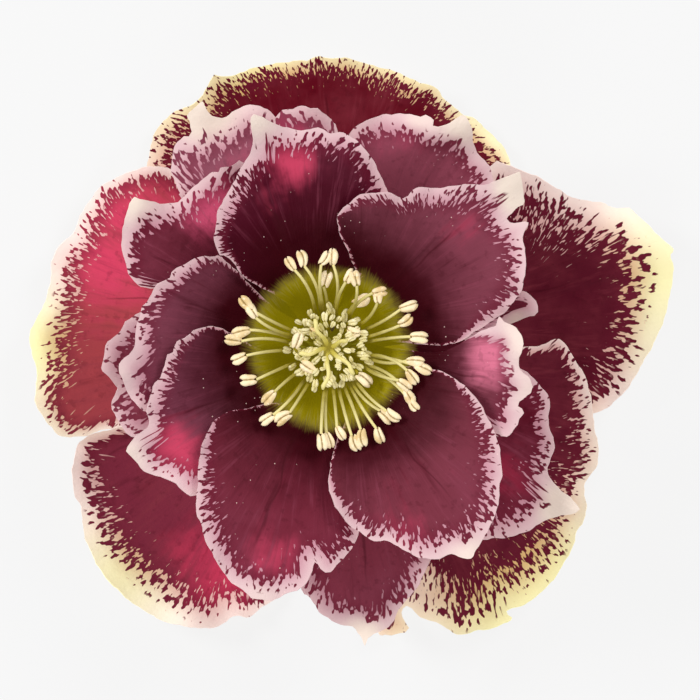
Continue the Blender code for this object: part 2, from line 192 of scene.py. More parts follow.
# %% Paint
class Paint:
    """One material, its shader and the nodes in front of it."""

    def __init__(self, name, roughness, specular):
        self.material = bpy.data.materials.new(name)
        self.material.use_nodes = True
        self.tree = self.material.node_tree
        self.shader = self.tree.nodes["Principled BSDF"]
        self.shader.inputs["Roughness"].default_value = roughness
        self.shader.inputs["Specular IOR Level"].default_value = specular

    def node(self, kind, settings, sockets, out=0):
        made = self.tree.nodes.new(kind)
        for name, value in settings.items():
            setattr(made, name, value)
        for name, value in sockets.items():
            if isinstance(value, Wire):
                self.tree.links.new(value.socket, made.inputs[name])
            else:
                made.inputs[name].default_value = value
        return Wire(self.tree, made.outputs[out])

    def attribute(self, name, out="Fac"):
        return self.node("ShaderNodeAttribute", {"attribute_name": name}, {}, out)

    def position(self):
        return self.node("ShaderNodeTexCoord", {}, {}, "Object")

    def place(self, x, y, z):
        return self.node("ShaderNodeCombineXYZ", {}, {"X": x, "Y": y, "Z": z})

    def noise(self, vector, scale=1.0, detail=2.0, roughness=0.5):
        return self.node("ShaderNodeTexNoise", {}, {
            "Vector": vector, "Scale": scale, "Detail": detail, "Roughness": roughness}, "Fac")

    def swing(self, vector, detail=1.0):
        """A noise stretched to swing about 0, mostly between -2 and 2."""
        return (self.noise(vector, 1.0, detail) - 0.5) / 0.1

    def step(self, value, start, end):
        """0 where the value is under start, 1 where it is over end, smooth between."""
        return self.node("ShaderNodeMapRange", {"interpolation_type": "SMOOTHSTEP"}, {
            "Value": value, "From Min": start, "From Max": end})

    def blend(self, first, second, factor):
        """The first colour where the factor is 0, the second where it is 1."""
        return self.node("ShaderNodeMix", {"data_type": "RGBA"}, {0: factor, 6: first, 7: second}, 2)

    def use(self, colour, relief, strength, light, power, tallest=0.0002):
        """Sets the finished colour, a fine relief, and a painted glow: an emission that stands for light
        through thin flesh.
        """
        self.tree.links.new(colour.socket, self.shader.inputs["Base Color"])
        self.tree.links.new(light.socket, self.shader.inputs["Emission Color"])
        self.shader.inputs["Emission Strength"].default_value = power
        bump = self.node("ShaderNodeBump", {}, {
            "Height": relief, "Strength": strength, "Distance": tallest})
        self.tree.links.new(bump.socket, self.shader.inputs["Normal"])
        return self.material


print("paint ready")

# %% [markdown]
# ## The blades' margins
# A sepal or petal is known by its margin: where it bulges, where it is nicked, where it ends in a point.
# No primitive has such an outline, so each margin is written down as the points that a pencil would
# mark on it, in millimetres from the bloom's axis, from one shoulder round to the other.
#
# Beside it stand the bearing of the blade's root in degrees, its lift in the pile, how steeply one half
# folds up, and its curls: a place and a height each. Field is the colour of its dark middle. Marks for
# the colouring are a place, a strength and a spread: where the rim is wider (pale), where its flecks
# reach further in (deeper), where light comes through thin flesh (glow) and where the rim turns lemon.
# The width of the rim (band), the depth and fineness of its flecks (fringe, fine) and the colour of the
# glow (light) stand only where a blade departs from its ring.

# %% Sepals
SEPALS = {
    "sepal_1": dict(
        bearing=90, field="580717", band=-0.1, fringe=2.0, fine=1.6,
        curls=[(-14.1, 33, 1.2), (11, 32.3, 1)],
        pale=[(20, 27, 1, 5), (-20, 28, 0.05, 5)],
        deeper=[(-14, 32, 1, 6), (-20, 27, 1.4, 6), (8, 33, 0.6, 6)],
        lemon=[(-9.6, 33.1, 0.6, 6), (2, 35, 0.5, 7), (11, 33, 0.4, 5), (18.3, 26.5, 0.5, 5),
               (24, 22, 0.5, 5), (-19, 28, 0.5, 6), (0, 30, 0.3, 12), (-11, 30, 0.3, 8),
               (14, 29, 0.25, 8)],
        margin=[
            (-7.4, 6.3), (-15.1, 10.4), (-20.5, 16.1), (-22.1, 20.4), (-22.2, 22), (-22, 23.1),
            (-21.7, 24.6), (-21.4, 25.8), (-20.5, 27.1), (-19.8, 28), (-18.7, 28.8), (-17.5, 29.2),
            (-16.3, 29.7), (-15.7, 30.3), (-15.1, 31.3), (-14.3, 32.5), (-13.9, 33.1), (-13, 32.9),
            (-11.8, 33), (-10.8, 33.5), (-9.6, 33.9), (-8.2, 34.2), (-6, 34.7), (-3.5, 34.9),
            (-2.7, 34.8), (-2, 35.3), (-1.1, 35.4), (0.1, 35.2), (2.5, 35.1), (6.2, 34.1), (8.6, 33.4),
            (9.8, 32.8), (11, 32.2), (12.2, 31.9), (13.1, 31.4), (14.1, 30.2), (14.9, 29.5), (16.4, 28.3),
            (17.9, 27.8), (19.5, 26.2), (21.1, 24.6), (21.6, 23.7), (22.1, 22.1), (21.3, 18),
            (17.1, 11.9), (7.6, 5.8)]),
    "sepal_2": dict(
        bearing=13, fold=0.12, field="521222", fringe=3.4,
        curls=[(41.6, 11.9, 1.2), (37, -4, 0.8)],
        pale=[(42, 6, 1.6, 7), (38, 14, 0.7, 6)],
        deeper=[(36, 8, 1.2, 9), (25, 14, 1.6, 6)],
        lemon=[(40.4, 9, 0.9, 7), (39, 0, 0.3, 5)],
        margin=[
            (6.8, 7), (12.2, 16.1), (19.5, 22), (20.7, 22.5), (22.1, 22.1), (23.2, 21.6), (25.6, 20.6),
            (28, 19.2), (29.2, 18.4), (30.4, 18), (32.9, 17.7), (34.3, 17), (36.3, 16.9), (37.1, 16.3),
            (38.9, 14.4), (40.1, 13.2), (41.6, 11.9), (41.1, 11.3), (41.1, 10.8), (41.5, 10.2),
            (41.6, 9.5), (41.4, 7), (41, 5.8), (40.6, 3.4), (39.5, 1), (38.9, -0.2), (37.5, -2.7),
            (35.9, -5.2), (34.9, -6.3), (33.8, -7.2), (31.9, -8), (26.8, -8.7), (18.3, -6.9), (8, -2.4)]),
    "sepal_3": dict(
        bearing=-44, lift=0.4, fold=0.1, field="561626", band=0.6, fringe=2.8, fine=1.2,
        curls=[(32.6, -13, 1.2), (21.5, -33.1, 1.4)],
        pale=[(22, -33, 0.8, 6), (32, -24, 0.5, 5), (27, -2, -0.7, 6), (8, -34, -1.2, 3.5),
              (12.4, -27.8, 2, 1.8)],
        deeper=[(14, -30, 3.2, 8), (24, -26, 2, 6), (27, -2, -1.5, 6)],
        lemon=[(20.7, -32, 1, 9), (28, -26, 0.7, 7), (33, -14, 0.2, 7), (8, -34, 0.4, 3)],
        margin=[
            (8.4, -1.5), (17.1, -0.2), (24.4, 0.2), (25.8, 0.4), (27.4, 1), (28.3, 0.9), (29, 0.1),
            (29.6, -1), (31, -3.4), (31.5, -4.9), (31.8, -6.3), (32.1, -9.3), (32.5, -10.9),
            (32.6, -12.4), (32.5, -14), (32, -15), (31.3, -16), (30.9, -16.7), (30.9, -17.8), (31.2, -19),
            (31, -20.3), (30.7, -21.4), (29.9, -22.1), (29.6, -23.9), (28.5, -26), (26.9, -28.4),
            (25.8, -29.5), (24.1, -30.8), (21.5, -31.8), (22.1, -32.6), (21.5, -33.1), (19.3, -34),
            (18.1, -34.2), (16, -34.7), (15, -34.5), (13.8, -33.7), (11.6, -32.9), (10.8, -32.4),
            (10, -31.7), (9.4, -31.3), (8.8, -32.2), (9.2, -33.2), (9.6, -34), (9.2, -34.5), (8.6, -34.6),
            (7.6, -34.9), (6.8, -34.8), (5.7, -34.2), (4, -28.1), (2.5, -18.4), (1.9, -8.7)]),
    "sepal_4": dict(
        bearing=236, field="74283a", fringe=2.8, fine=1.15, light="b43450",
        curls=[(-31.2, -15.4, 1.2), (-16.3, -33.9, 1.4)],
        pale=[(-27, -26, 0.8, 6), (-21, -31, 1.2, 5.5), (-13, -33, -0.4, 5), (-24, -10, -0.6, 6)],
        deeper=[(-27, -20, 0.8, 6), (-20, -27, 1.3, 6), (-24, -10, -2.2, 6)],
        glow=[(-12, -29, 0.9, 6), (-17, -23, 0.35, 5)],
        lemon=[(-25.4, -27.5, 0.8, 6)],
        margin=[
            (-8.2, -3.6), (-16.9, -6.6), (-23, -9.2), (-26.4, -9.9), (-28.4, -10.3), (-29.6, -10.8),
            (-30.5, -11.8), (-30.8, -12.7), (-31.1, -14), (-31.2, -15.4), (-30.8, -18.1), (-30.2, -19.3),
            (-29.8, -22.1), (-29.3, -23.9), (-28.4, -25.7), (-27.4, -27.3), (-26.4, -28.6),
            (-25.1, -29.8), (-23.8, -30.9), (-22.3, -31.9), (-20.9, -32.8), (-19.7, -33.2),
            (-18.1, -33.6), (-16.3, -33.9), (-14.5, -33.9), (-12.9, -33.5), (-11.7, -32.6),
            (-10.8, -32.5), (-10, -32.8), (-9.2, -32.3), (-8.2, -31.5), (-6.7, -30.6), (-2.9, -25.7),
            (-0.9, -17.2), (-1.4, -8.7)]),
    "sepal_5": dict(
        bearing=166, lift=1.4, fold=0.06, field="a04046", fringe=2.9, fine=1.25,
        curls=[(-36.2, 1.2, 1.4), (-21.7, 22, 1.2)],
        pale=[(-36, 3, 0.6, 7), (-24, 21, -0.5, 8), (-28, -10, -0.5, 6)],
        deeper=[(-33, -1, 1, 6), (-27, -10, -1.9, 7), (-21, 21, -1.2, 6)],
        glow=[(-27, 11, 0.8, 9), (-23, 18, 0.3, 8)],
        lemon=[(-35, 0.4, 1, 5.5), (-32, -8, 0.4, 5)],
        margin=[
            (-7.4, 4.6), (-10.8, 11.9), (-15.1, 19.2), (-19.1, 21.6), (-19.9, 22), (-21.7, 22),
            (-24.2, 21.4), (-25.4, 20.9), (-26.6, 20.3), (-28.1, 19.2), (-29.3, 17.6), (-30.2, 16.1),
            (-30.8, 14.3), (-32.7, 12.4), (-33.6, 10.4), (-33.9, 7.6), (-34.6, 5.2), (-35.7, 3.2),
            (-36.2, 1.2), (-35.9, -0.8), (-35.3, -3.3), (-35.6, -5.7), (-35.5, -6.9), (-34.5, -8.5),
            (-33.6, -9.6), (-32.9, -10.6), (-31.4, -10.8), (-29.4, -10.6), (-28.4, -10.2), (-26.4, -9.8),
            (-20.5, -8.7), (-13.9, -6.3), (-8.4, -2.9)]),
}
print(len(SEPALS), "sepals")

# %% [markdown]
# The middle petals are narrower and curl more. One of them, the fourth, is a small folded slip that
# shows only between its neighbours.

# %% Middle petals
MIDDLE = {
    "middle_petal_1": dict(
        bearing=124, field="96586a",
        curls=[(-15, 29.4, 2.4), (-8.2, 28.9, 1)],
        pale=[(-15, 28.2, 2.2, 4.2), (-8, 28.5, 0.6, 3)],
        deeper=[(-14, 27, 3.6, 4.5)],
        glow=[(-12, 23.6, 0.3, 4)],
        margin=[
            (-6.4, 5.7), (-12.4, 11.1), (-17.5, 17.7), (-17.8, 18.5), (-18.4, 19.8), (-18.8, 21.2),
            (-18.7, 22.4), (-18.6, 23.6), (-18.1, 24.6), (-17.3, 25.3), (-16.7, 25.2), (-16.3, 25.8),
            (-16.6, 27), (-16.9, 27.7), (-16.2, 28.4), (-15, 29.4), (-14.8, 28.8), (-14.4, 28),
            (-13.3, 27.5), (-12.2, 27.6), (-11.2, 28.4), (-10.2, 28.8), (-9.4, 29), (-8.2, 28.9),
            (-7.3, 28.5), (-6.7, 27.9), (-6.3, 27.5), (-3.4, 22.4), (-2, 15.3), (-2.5, 7.5)]),
    "middle_petal_2": dict(
        bearing=95, lift=1.6, field="a05a6c",
        curls=[(-2.8, 28.8, 1.2)],
        pale=[(-2.8, 29, 0.1, 3)],
        glow=[(-5, 26, 0.7, 3)],
        margin=[
            (-2, 7.6), (-5.2, 18.9), (-6.8, 24.8), (-6.3, 27.5), (-5.9, 28), (-5.5, 28.3), (-4.3, 28.4),
            (-3.8, 28.8), (-2.8, 28.8), (-2.2, 28.5), (-1.3, 28.5), (-0.7, 28), (-0.1, 27.5), (0.6, 26.9),
            (1.1, 26), (2.3, 20.1), (1.3, 8.1)]),
    "middle_petal_3": dict(
        bearing=58, field="7e3c4c",
        curls=[(12.4, 26.4, 2.4), (16, 27.8, 2)],
        pale=[(15.7, 27, 1.8, 3), (10.5, 27.3, 1.1, 2.5), (18.5, 24, 0.4, 3)],
        glow=[(10.9, 25, 0.2, 4), (7, 24.3, 0.15, 3)],
        margin=[
            (1.9, 7.9), (1.3, 16.5), (1.6, 22.4), (2.5, 25.5), (3.1, 26.3), (4, 26.9), (4.9, 27.3),
            (5.9, 27.8), (6.9, 28), (7.5, 27.8), (8.5, 28), (9.7, 27.9), (10.5, 27.7), (11, 27.6),
            (11.6, 27.8), (12.2, 27.5), (12.4, 27.1), (12.3, 26.4), (13, 26.3), (14, 26.6), (14.9, 27.1),
            (16, 27.8), (16.6, 27), (17.1, 25.8), (17.3, 24.5), (17.7, 23.4), (18.3, 22.7), (18.9, 22.1),
            (19.4, 21.1), (19.7, 18.9), (17.4, 14.7), (12.1, 9.5), (6.1, 5.1)]),
    "middle_petal_4": dict(
        bearing=16, field="5a2430", band=0.3, fringe=1.6,
        curls=[(24.5, 5, 2.2)],
        pale=[(22.5, 3.2, 1.3, 1.6)],
        margin=[
            (7.5, 3.6), (14.5, 5.7), (20.4, 6.9), (22.8, 6.9), (23.5, 6.6), (24.1, 6.2), (24.7, 5.6),
            (25, 5), (25, 4.3), (24.5, 3.9), (23.4, 3.6), (21.9, 3), (17.4, 1.2), (8.3, 0.4)]),
    "middle_petal_5": dict(
        bearing=-33, field="560e20", light="98203c",
        curls=[(29.9, -19.2, 2.2), (26.9, -11, 1)],
        pale=[(28.6, -19.2, 2.3, 4.2)],
        deeper=[(24, -20, 1, 5), (25, -9, -1, 3)],
        glow=[(20.5, -15, 0.42, 4)],
        margin=[
            (8.3, -1.9), (14.5, -1.7), (20.4, -1.7), (22.8, -2.5), (23.7, -3), (24.6, -3.6), (25.4, -4.7),
            (26.2, -5.6), (26.4, -6.4), (26.3, -7.6), (26.3, -8.6), (26.4, -9.8), (26.8, -11),
            (26.9, -11.9), (26.5, -13.1), (26.2, -14.3), (26.2, -15.3), (26.8, -16.1), (27.7, -17),
            (28.8, -17.8), (29.6, -18.6), (29.9, -19.2), (29.4, -19.6), (28.2, -19.9), (26.4, -20.4),
            (25.2, -21), (24, -21.7), (22.8, -22.2), (21.6, -22.6), (19.8, -22.7), (16.8, -22.3),
            (11.5, -17), (6.7, -10.4), (4.7, -6.4)]),
    "middle_petal_6": dict(
        bearing=-78, field="86384a",
        curls=[(4.3, -35.5, 1.6), (11, -27, 1)],
        pale=[(4, -35, 2, 3.4)],
        margin=[
            (-1.1, -8.6), (-3, -15.8), (-3.7, -24.1), (-3.2, -28.8), (-2.6, -29.5), (-1.9, -30.4),
            (-1.1, -31.5), (-0.1, -32.2), (0.9, -32.8), (1.8, -33.1), (2.8, -33.3), (3.5, -33.9),
            (4, -34.6), (4.3, -35.5), (4.7, -34.6), (5.4, -34.1), (6.1, -33.9), (7.1, -33.3),
            (7.7, -32.5), (8.7, -30.8), (10.3, -28.9), (10.9, -27.7), (11.7, -26.3), (12.2, -24.1),
            (10.9, -19.3), (6.7, -12.2), (2.8, -8.1)]),
    "middle_petal_7": dict(
        bearing=189, field="8a4252",
        curls=[(-27, -2.4, 1.8), (-23, -10.7, 1.6)],
        pale=[(-27, -5, 0.3, 4)],
        margin=[
            (-8, 2.1), (-14.8, 4.8), (-19.6, 5.1), (-22.5, 4.3), (-23.5, 3.7), (-24.3, 3.1), (-24.9, 2.1),
            (-25.8, 1.3), (-26.4, 0.7), (-26.7, -0.2), (-26.8, -1.4), (-27.1, -2.4), (-26.7, -3.1),
            (-25.9, -3.9), (-25.2, -4.8), (-25.6, -5.7), (-26, -6.4), (-25.9, -7.4), (-25.4, -8.4),
            (-24.8, -9.2), (-24.2, -10), (-23.6, -10.6), (-23, -10.7), (-19.6, -9.8), (-13.6, -6.2),
            (-8, -2.2)]),
    "middle_petal_8": dict(
        bearing=154, lift=1.2, field="60202f",
        curls=[(-23.1, 18, 2.2), (-13, 21, 1.6)],
        pale=[(-24, 18, 1.8, 4), (-17, 21.5, 0.5, 3)],
        deeper=[(-21, 17, 1, 4), (-19.5, 8.5, -1.8, 4)],
        glow=[(-14.8, 16.2, 0.9, 3.5), (-12.3, 18, 0.7, 2.6)],
        margin=[
            (-7.3, 4.3), (-13, 6.3), (-19, 6.9), (-22.5, 7.3), (-22.9, 7.6), (-23.6, 8.5), (-24.1, 9.5),
            (-24.4, 10.5), (-24.7, 11.7), (-24.7, 12.9), (-24.4, 14.7), (-24.2, 15.9), (-23.7, 17.1),
            (-23.1, 18), (-22.5, 17.7), (-21.3, 17.5), (-20.2, 17.3), (-19, 17.3), (-18, 17.4),
            (-16.8, 18.6), (-15.4, 19.9), (-14.5, 20.5), (-13.8, 20.9), (-13.1, 20.9), (-12.9, 21.5),
            (-11.8, 21.6), (-11, 22.1), (-10.2, 22.2), (-7.6, 18.9), (-5.6, 12.9), (-4.6, 7.5)]),
}
print(len(MIDDLE), "middle petals")

# %% [markdown]
# The inner petals stand steepest, and most of them have one half folded up beside a neighbour.

# %% Inner petals
INNER = {
    "inner_petal_1": dict(
        bearing=114, lift=0.6, fold=0.15, field="460a1c",
        curls=[(-8.8, 27.6, 2), (4.4, 23.4, 1.2)],
        pale=[(-8.8, 27, 1.6, 3.5), (-2, 26, 0.3, 4)],
        deeper=[(-8, 25, 1, 4)],
        glow=[(-3.6, 21.9, 0.7, 2.4), (-7.5, 21, 0.35, 4), (-5.8, 24.2, 0.4, 3)],
        margin=[
            (-5.5, 5.7), (-9.6, 8.1), (-11.9, 10.7), (-12.9, 11), (-13.2, 11.6), (-13.5, 12.8),
            (-13.3, 15.2), (-13.1, 16.3), (-11.9, 18.5), (-11.3, 19.7), (-10.1, 21.7), (-9.1, 23.4),
            (-9, 24.6), (-9.1, 25.8), (-9.1, 27.2), (-8.8, 27.6), (-8.1, 27.4), (-7.3, 27), (-6.4, 26.6),
            (-5.4, 26.2), (-4.3, 25.9), (-3.2, 25.8), (-1.3, 26.1), (-0.4, 25.8), (0.2, 25.3),
            (1.3, 25.5), (2.2, 25.3), (2.9, 24.9), (3.7, 24.2), (5, 22.6), (6.1, 20.7), (6.8, 18.9),
            (7.3, 17.5), (6.7, 14.6), (4.7, 10.7), (2.1, 7.3)]),
    "inner_petal_2": dict(
        bearing=44, lift=1.2, fold=0.15, field="753645",
        curls=[(9.9, 18.7, 1.4), (22.5, 20.7, 2), (23, 8, 1)],
        pale=[(22.6, 19, 2.5, 3.6), (24.5, 12, 0.5, 4)],
        deeper=[(17, 19, 0.8, 4)],
        glow=[(17.3, 14.5, 0.3, 4)],
        margin=[
            (3.7, 8), (3.2, 9.2), (2.3, 11.6), (1.3, 13.5), (1, 14.9), (1.1, 15.7), (1.5, 16.3),
            (2.2, 17), (3.7, 18.2), (4.5, 18.3), (6.1, 18.3), (7.4, 18.4), (7.8, 18.1), (8.8, 17.7),
            (9.4, 18), (9.9, 18.7), (10.3, 18.9), (13.2, 19), (16.1, 19.3), (17.9, 19.3), (19.4, 19.6),
            (21.1, 20.2), (22.5, 20.7), (22.8, 20.1), (23, 18.9), (23, 17), (22.4, 16.7), (21.1, 15.3),
            (21.5, 14.9), (23.6, 14.8), (23.3, 14.1), (23, 13.1), (23.1, 12.2), (23.3, 11.4),
            (23.3, 10.4), (23.2, 9.2), (23.1, 8), (22.9, 6.9), (22.2, 5.9), (21.6, 5.1), (20.3, 3.8),
            (17.3, 1.9), (14.4, 0.4), (8.2, 0.7)]),
    "inner_petal_3": dict(
        bearing=-12, lift=1.8, fold=0.15, field="682c3a", light="d0708a",
        curls=[(22.8, 1.3, 1.6), (23.8, -5, 0.8)],
        pale=[(23.5, 1, 1.5, 4), (24, -6, 1.2, 3.5), (20.5, 3.5, 0.5, 2), (14, 0, -0.4, 5)],
        deeper=[(14, 0, -1.5, 5)],
        glow=[(19.5, -1, 1, 4)],
        margin=[
            (8.2, -0.2), (13.2, -0.5), (14.3, -0.1), (15.3, 0.2), (16, 0.8), (17.3, 1.6), (19.1, 2.4),
            (19.9, 2.6), (20, 3.3), (20.2, 3.7), (20.8, 3.2), (21.7, 2.7), (22.4, 2), (22.8, 1.3),
            (23, 0.5), (22.7, -0.6), (22.5, -1.7), (22.6, -2.5), (23.2, -3.2), (23.8, -3.7), (24.1, -4.6),
            (23.9, -5.3), (22.6, -6.4), (22.4, -6.9), (22.8, -7.2), (23, -7.7), (22.6, -8.4),
            (22.4, -9.1), (21.9, -9.7), (21.4, -10.3), (20.5, -10.5), (17.9, -9.7), (13.2, -6.7),
            (8.4, -3.5)]),
    "inner_petal_4": dict(
        bearing=-51, lift=3.25, fold=0.05, field="702e3c",
        curls=[(16.8, -24.8, 1.4), (0.5, -18.2, 1)],
        pale=[(16.8, -25, 1.5, 4), (6, -25, 0.3, 4)],
        deeper=[(14, -23, 0.5, 5)],
        glow=[(9, -22, 0.5, 5)],
        margin=[
            (8.4, -2.1), (12, -2.4), (14.6, -3.4), (16, -4.4), (17.3, -5.8), (18.5, -7.6), (19.5, -9.7),
            (20.2, -12), (20.5, -14.4), (20.3, -15.6), (20.1, -16.4), (20.1, -17.9), (19.8, -19.4),
            (19.2, -20.5), (18.7, -21.7), (17.7, -23.4), (17.3, -24.1), (16.8, -24.8), (15.9, -24.7),
            (14.9, -24.4), (14, -24.4), (13.1, -24.9), (12, -24.9), (10.8, -24.7), (9.6, -24.2),
            (8.7, -23.8), (7.8, -23.2), (7, -22.8), (6.1, -22.8), (5.4, -22.8), (4.4, -22.3), (2.5, -21),
            (1.8, -20.1), (1.1, -19.1), (0.5, -18.2), (0, -16.2), (0.6, -12), (2.1, -8)]),
    "inner_petal_5": dict(
        bearing=250, lift=1.5, fold=-0.15, field="6a2232",
        curls=[(-9.1, -29.5, 1.4), (0.2, -26.4, 1.2)],
        pale=[(-8, -29.5, 1.1, 4), (-14, -10, -0.3, 5)],
        glow=[(-6.4, -24.5, 0.6, 4)],
        margin=[
            (-4.6, -6.2), (-6.9, -6.6), (-8.4, -6.9), (-10.7, -7.3), (-11.9, -7.6), (-13.4, -8.5),
            (-14.5, -10.2), (-15.1, -12.3), (-15.5, -14.7), (-15.5, -16.8), (-15.7, -19.4),
            (-15.2, -20.4), (-14.5, -22.7), (-13.3, -25.1), (-12.5, -26.4), (-11.4, -27.7),
            (-10.2, -28.6), (-9.1, -29.5), (-7.9, -29.7), (-6.7, -29.8), (-5.2, -29.2), (-3.4, -28.4),
            (-2.4, -27.4), (-1.6, -25.4), (-1, -26.1), (-0.4, -26.5), (0.2, -26.4), (2.1, -24.5),
            (2.8, -23.7), (3.4, -22.2), (3.9, -18), (2.8, -12.1), (1.1, -8.3)]),
    "inner_petal_6": dict(
        bearing=205, lift=0.9, fold=-0.15, field="6e3344",
        curls=[(-23.9, -12.2, 2), (-18.1, 0.2, 1)],
        pale=[(-24, -12.5, 1.4, 3.5), (-20, -17, 0.5, 4)],
        glow=[(-19, -12, 0.9, 4), (-17, -15, 0.5, 3)],
        margin=[
            (-7.9, -0.2), (-12, 2), (-12.9, 2.4), (-13.8, 2.6), (-14.6, 2.5), (-15.6, 2.2), (-17.1, 1.2),
            (-18, 0.8), (-18.4, -0.5), (-19.1, -0.8), (-19.3, -1.7), (-20, -3.4), (-20.6, -4.1),
            (-20.9, -5.2), (-21.5, -7.1), (-21.3, -9), (-21.8, -9.7), (-22.7, -10.4), (-23.4, -11.1),
            (-23.9, -12.2), (-23.3, -12.9), (-22.6, -13.7), (-21.8, -14.5), (-20.9, -15), (-19, -15.6),
            (-18.1, -16.1), (-16.8, -17.2), (-15.6, -17.5), (-12.3, -15.6), (-8.7, -10.9), (-5.2, -6.2)]),
    "inner_petal_7": dict(
        bearing=162, field="703545",
        curls=[(-17.3, 9.9, 1), (-24.8, -2.6, 1.4)],
        pale=[(-25.5, -3, 1, 4)],
        margin=[
            (-6.7, 5), (-9.9, 8.1), (-12.7, 10.8), (-13.5, 10.9), (-14.7, 10.9), (-15.6, 10.7),
            (-16.5, 10.3), (-18, 9.5), (-18.6, 9), (-18.8, 8.3), (-19.4, 8), (-20.3, 7.5), (-20.9, 6.8),
            (-21.5, 5.6), (-22.1, 4.9), (-22.4, 3.9), (-22.9, 2.1), (-23, 0.9), (-23.1, -0.2),
            (-23.6, -0.8), (-24.5, -1.5), (-24.8, -2.6), (-23.6, -5.6), (-21.6, -7.6), (-18.3, -6.8),
            (-12.9, -3.8), (-7.9, -1.2)]),
}
print(len(INNER), "inner petals")

# %% [markdown]
# ## How high a blade stands
# Each ring is a bowl: the sepals sag to the surface, lie on it and cup up again, and the petals rise
# steeply from the knob and flatten out. These are the bowls of the solid blades, so a fine blade lies
# inside the solid one that it replaces.

# %% The bowls
ROOT_RADIUS = KNOB_RADIUS + 0.64   # mm, where the solid blades start
SAG_STARTS = 0.7 * ROOT_RADIUS
SEPAL_ROOT, SEPAL_SAG, BELLY, SEPAL_CUP, SEPAL_FLOOR = 5.2, 0.1, 22.0, 0.016, 0.3
MIDDLE_ROOT, MIDDLE_RISE, MIDDLE_TURN = 6.9, 11.0, 13.0
INNER_ROOT, INNER_RISE, INNER_TURN = 9.5, 15.0, 11.0


def ease(value, start, end):
    """0 before start, 1 after end, smooth between, for numbers and arrays."""
    t = np.clip((value - start) / (end - start), 0.0, 1.0)
    return t * t * (3 - 2 * t)


def sepal_height(r):
    sag = SEPAL_SAG + SEPAL_ROOT * (1 - ease(r, SAG_STARTS, BELLY))
    return np.maximum(sag + SEPAL_CUP * np.maximum(0.0, r - BELLY) ** 2, SEPAL_FLOOR)


def middle_height(r):
    return MIDDLE_ROOT + MIDDLE_RISE * (1 - np.exp(-(r - ROOT_RADIUS) / MIDDLE_TURN))


def inner_height(r):
    return INNER_ROOT + INNER_RISE * (1 - np.exp(-(r - ROOT_RADIUS) / INNER_TURN))


for ring_height in (sepal_height, middle_height, inner_height):
    print(ring_height.__name__, [round(float(ring_height(r)), 1) for r in (5, 10, 20, 30)])

# %% [markdown]
# ## From a margin to a sheet
# A curve through the margin's points gives a line with a point every half millimetre, and a little
# crinkle is added to it. A honeycomb of points fills the inside, and Blender's constrained Delaunay
# triangulation joins them all. For every point the script keeps how far away the margin is, since both
# the thickness and the colouring follow the margin.

# %% Line tools
STEP = 0.5                                                # mm between points
CRINKLE = 0.045                                           # mm that the finest nicks reach
NICKS = ((5.3, 1.0), (2.9, 0.9), (1.7, 0.7), (1.1, 0.5))  # their lengths in mm and shares


def smooth_line(points, spacing):
    """A Catmull-Rom curve through the points, which keeps each one."""
    points = [Vector(p) for p in points]
    padded = [2 * points[0] - points[1], *points, 2 * points[-1] - points[-2]]
    line = []
    for a, b, c, d in zip(padded, padded[1:], padded[2:], padded[3:]):
        steps = max(1, round((c - b).length / spacing))
        for k in range(steps):
            t = k / steps
            bend = 2 * a - 5 * b + 4 * c - d
            line.append(b + 0.5 * t * ((c - a) + t * (bend + t * (3 * (b - c) + d - a))))
    return np.array([*line, points[-1]])


def crinkled(line, chance):
    """The line with fine nicks across it, none at the root."""
    run = np.concatenate([[0], np.cumsum(np.hypot(*np.diff(line, axis=0).T))])
    ahead = np.gradient(line, axis=0)
    across = np.stack([-ahead[:, 1], ahead[:, 0]], 1) / np.hypot(*ahead.T)[:, None]
    nick = np.zeros(len(line))
    for length, share in NICKS:
        nick += share * np.sin(math.tau * run / length + chance.uniform(0, math.tau))
    calm = np.minimum(run, run[-1] - run)
    return line + across * (CRINKLE * nick * ease(calm, 3.0, 8.0))[:, None]


def inside(places, line):
    """Whether each place lies within the closed line, by counting the sides that a ray crosses."""
    a, b = line, np.roll(line, -1, axis=0)
    x, y = places[:, 0, None], places[:, 1, None]
    spans = (a[:, 1] > y) != (b[:, 1] > y)
    rise = np.where(b[:, 1] == a[:, 1], 1.0, b[:, 1] - a[:, 1])
    left_of = x < a[:, 0] + (y - a[:, 1]) * (b[:, 0] - a[:, 0]) / rise
    return (spans & left_of).sum(1) % 2 == 1


def margin_distance(places, line):
    """How far each place is from the nearest side of the line."""
    side = np.diff(line, axis=0)
    away = places[:, None] - line[None, :-1]
    share = np.clip((away * side).sum(2) / (side ** 2).sum(1), 0, 1)
    gap = away - share[..., None] * side
    return np.hypot(gap[..., 0], gap[..., 1]).min(1)


print("line tools ready")

# %% [markdown]
# A blade's line starts and ends a little way inside the knob, so that its root shows no gap. The
# honeycomb keeps half a step away from the line, which leaves no thin triangles along it.

# %% Flat sheet
START_RADIUS = KNOB_RADIUS - 0.2
ROW_STEP = 0.87 * STEP             # the height of an equal-sided triangle
CLEAR_OF_LINE = 0.55 * STEP


def blade_line(name, spec, ring):
    """The line from the blade's root round its margin and back."""
    way = math.radians(spec["bearing"])
    first_x, first_y = spec["margin"][0]
    half = ring["root_half_width"] / START_RADIUS
    starts_left = first_y * math.cos(way) > first_x * math.sin(way)
    turns = (half, -half) if starts_left else (-half, half)
    roots = [(START_RADIUS * math.cos(way + t), START_RADIUS * math.sin(way + t)) for t in turns]
    line = smooth_line([roots[0], *spec["margin"], roots[1]], STEP)
    return crinkled(line, random.Random(name))


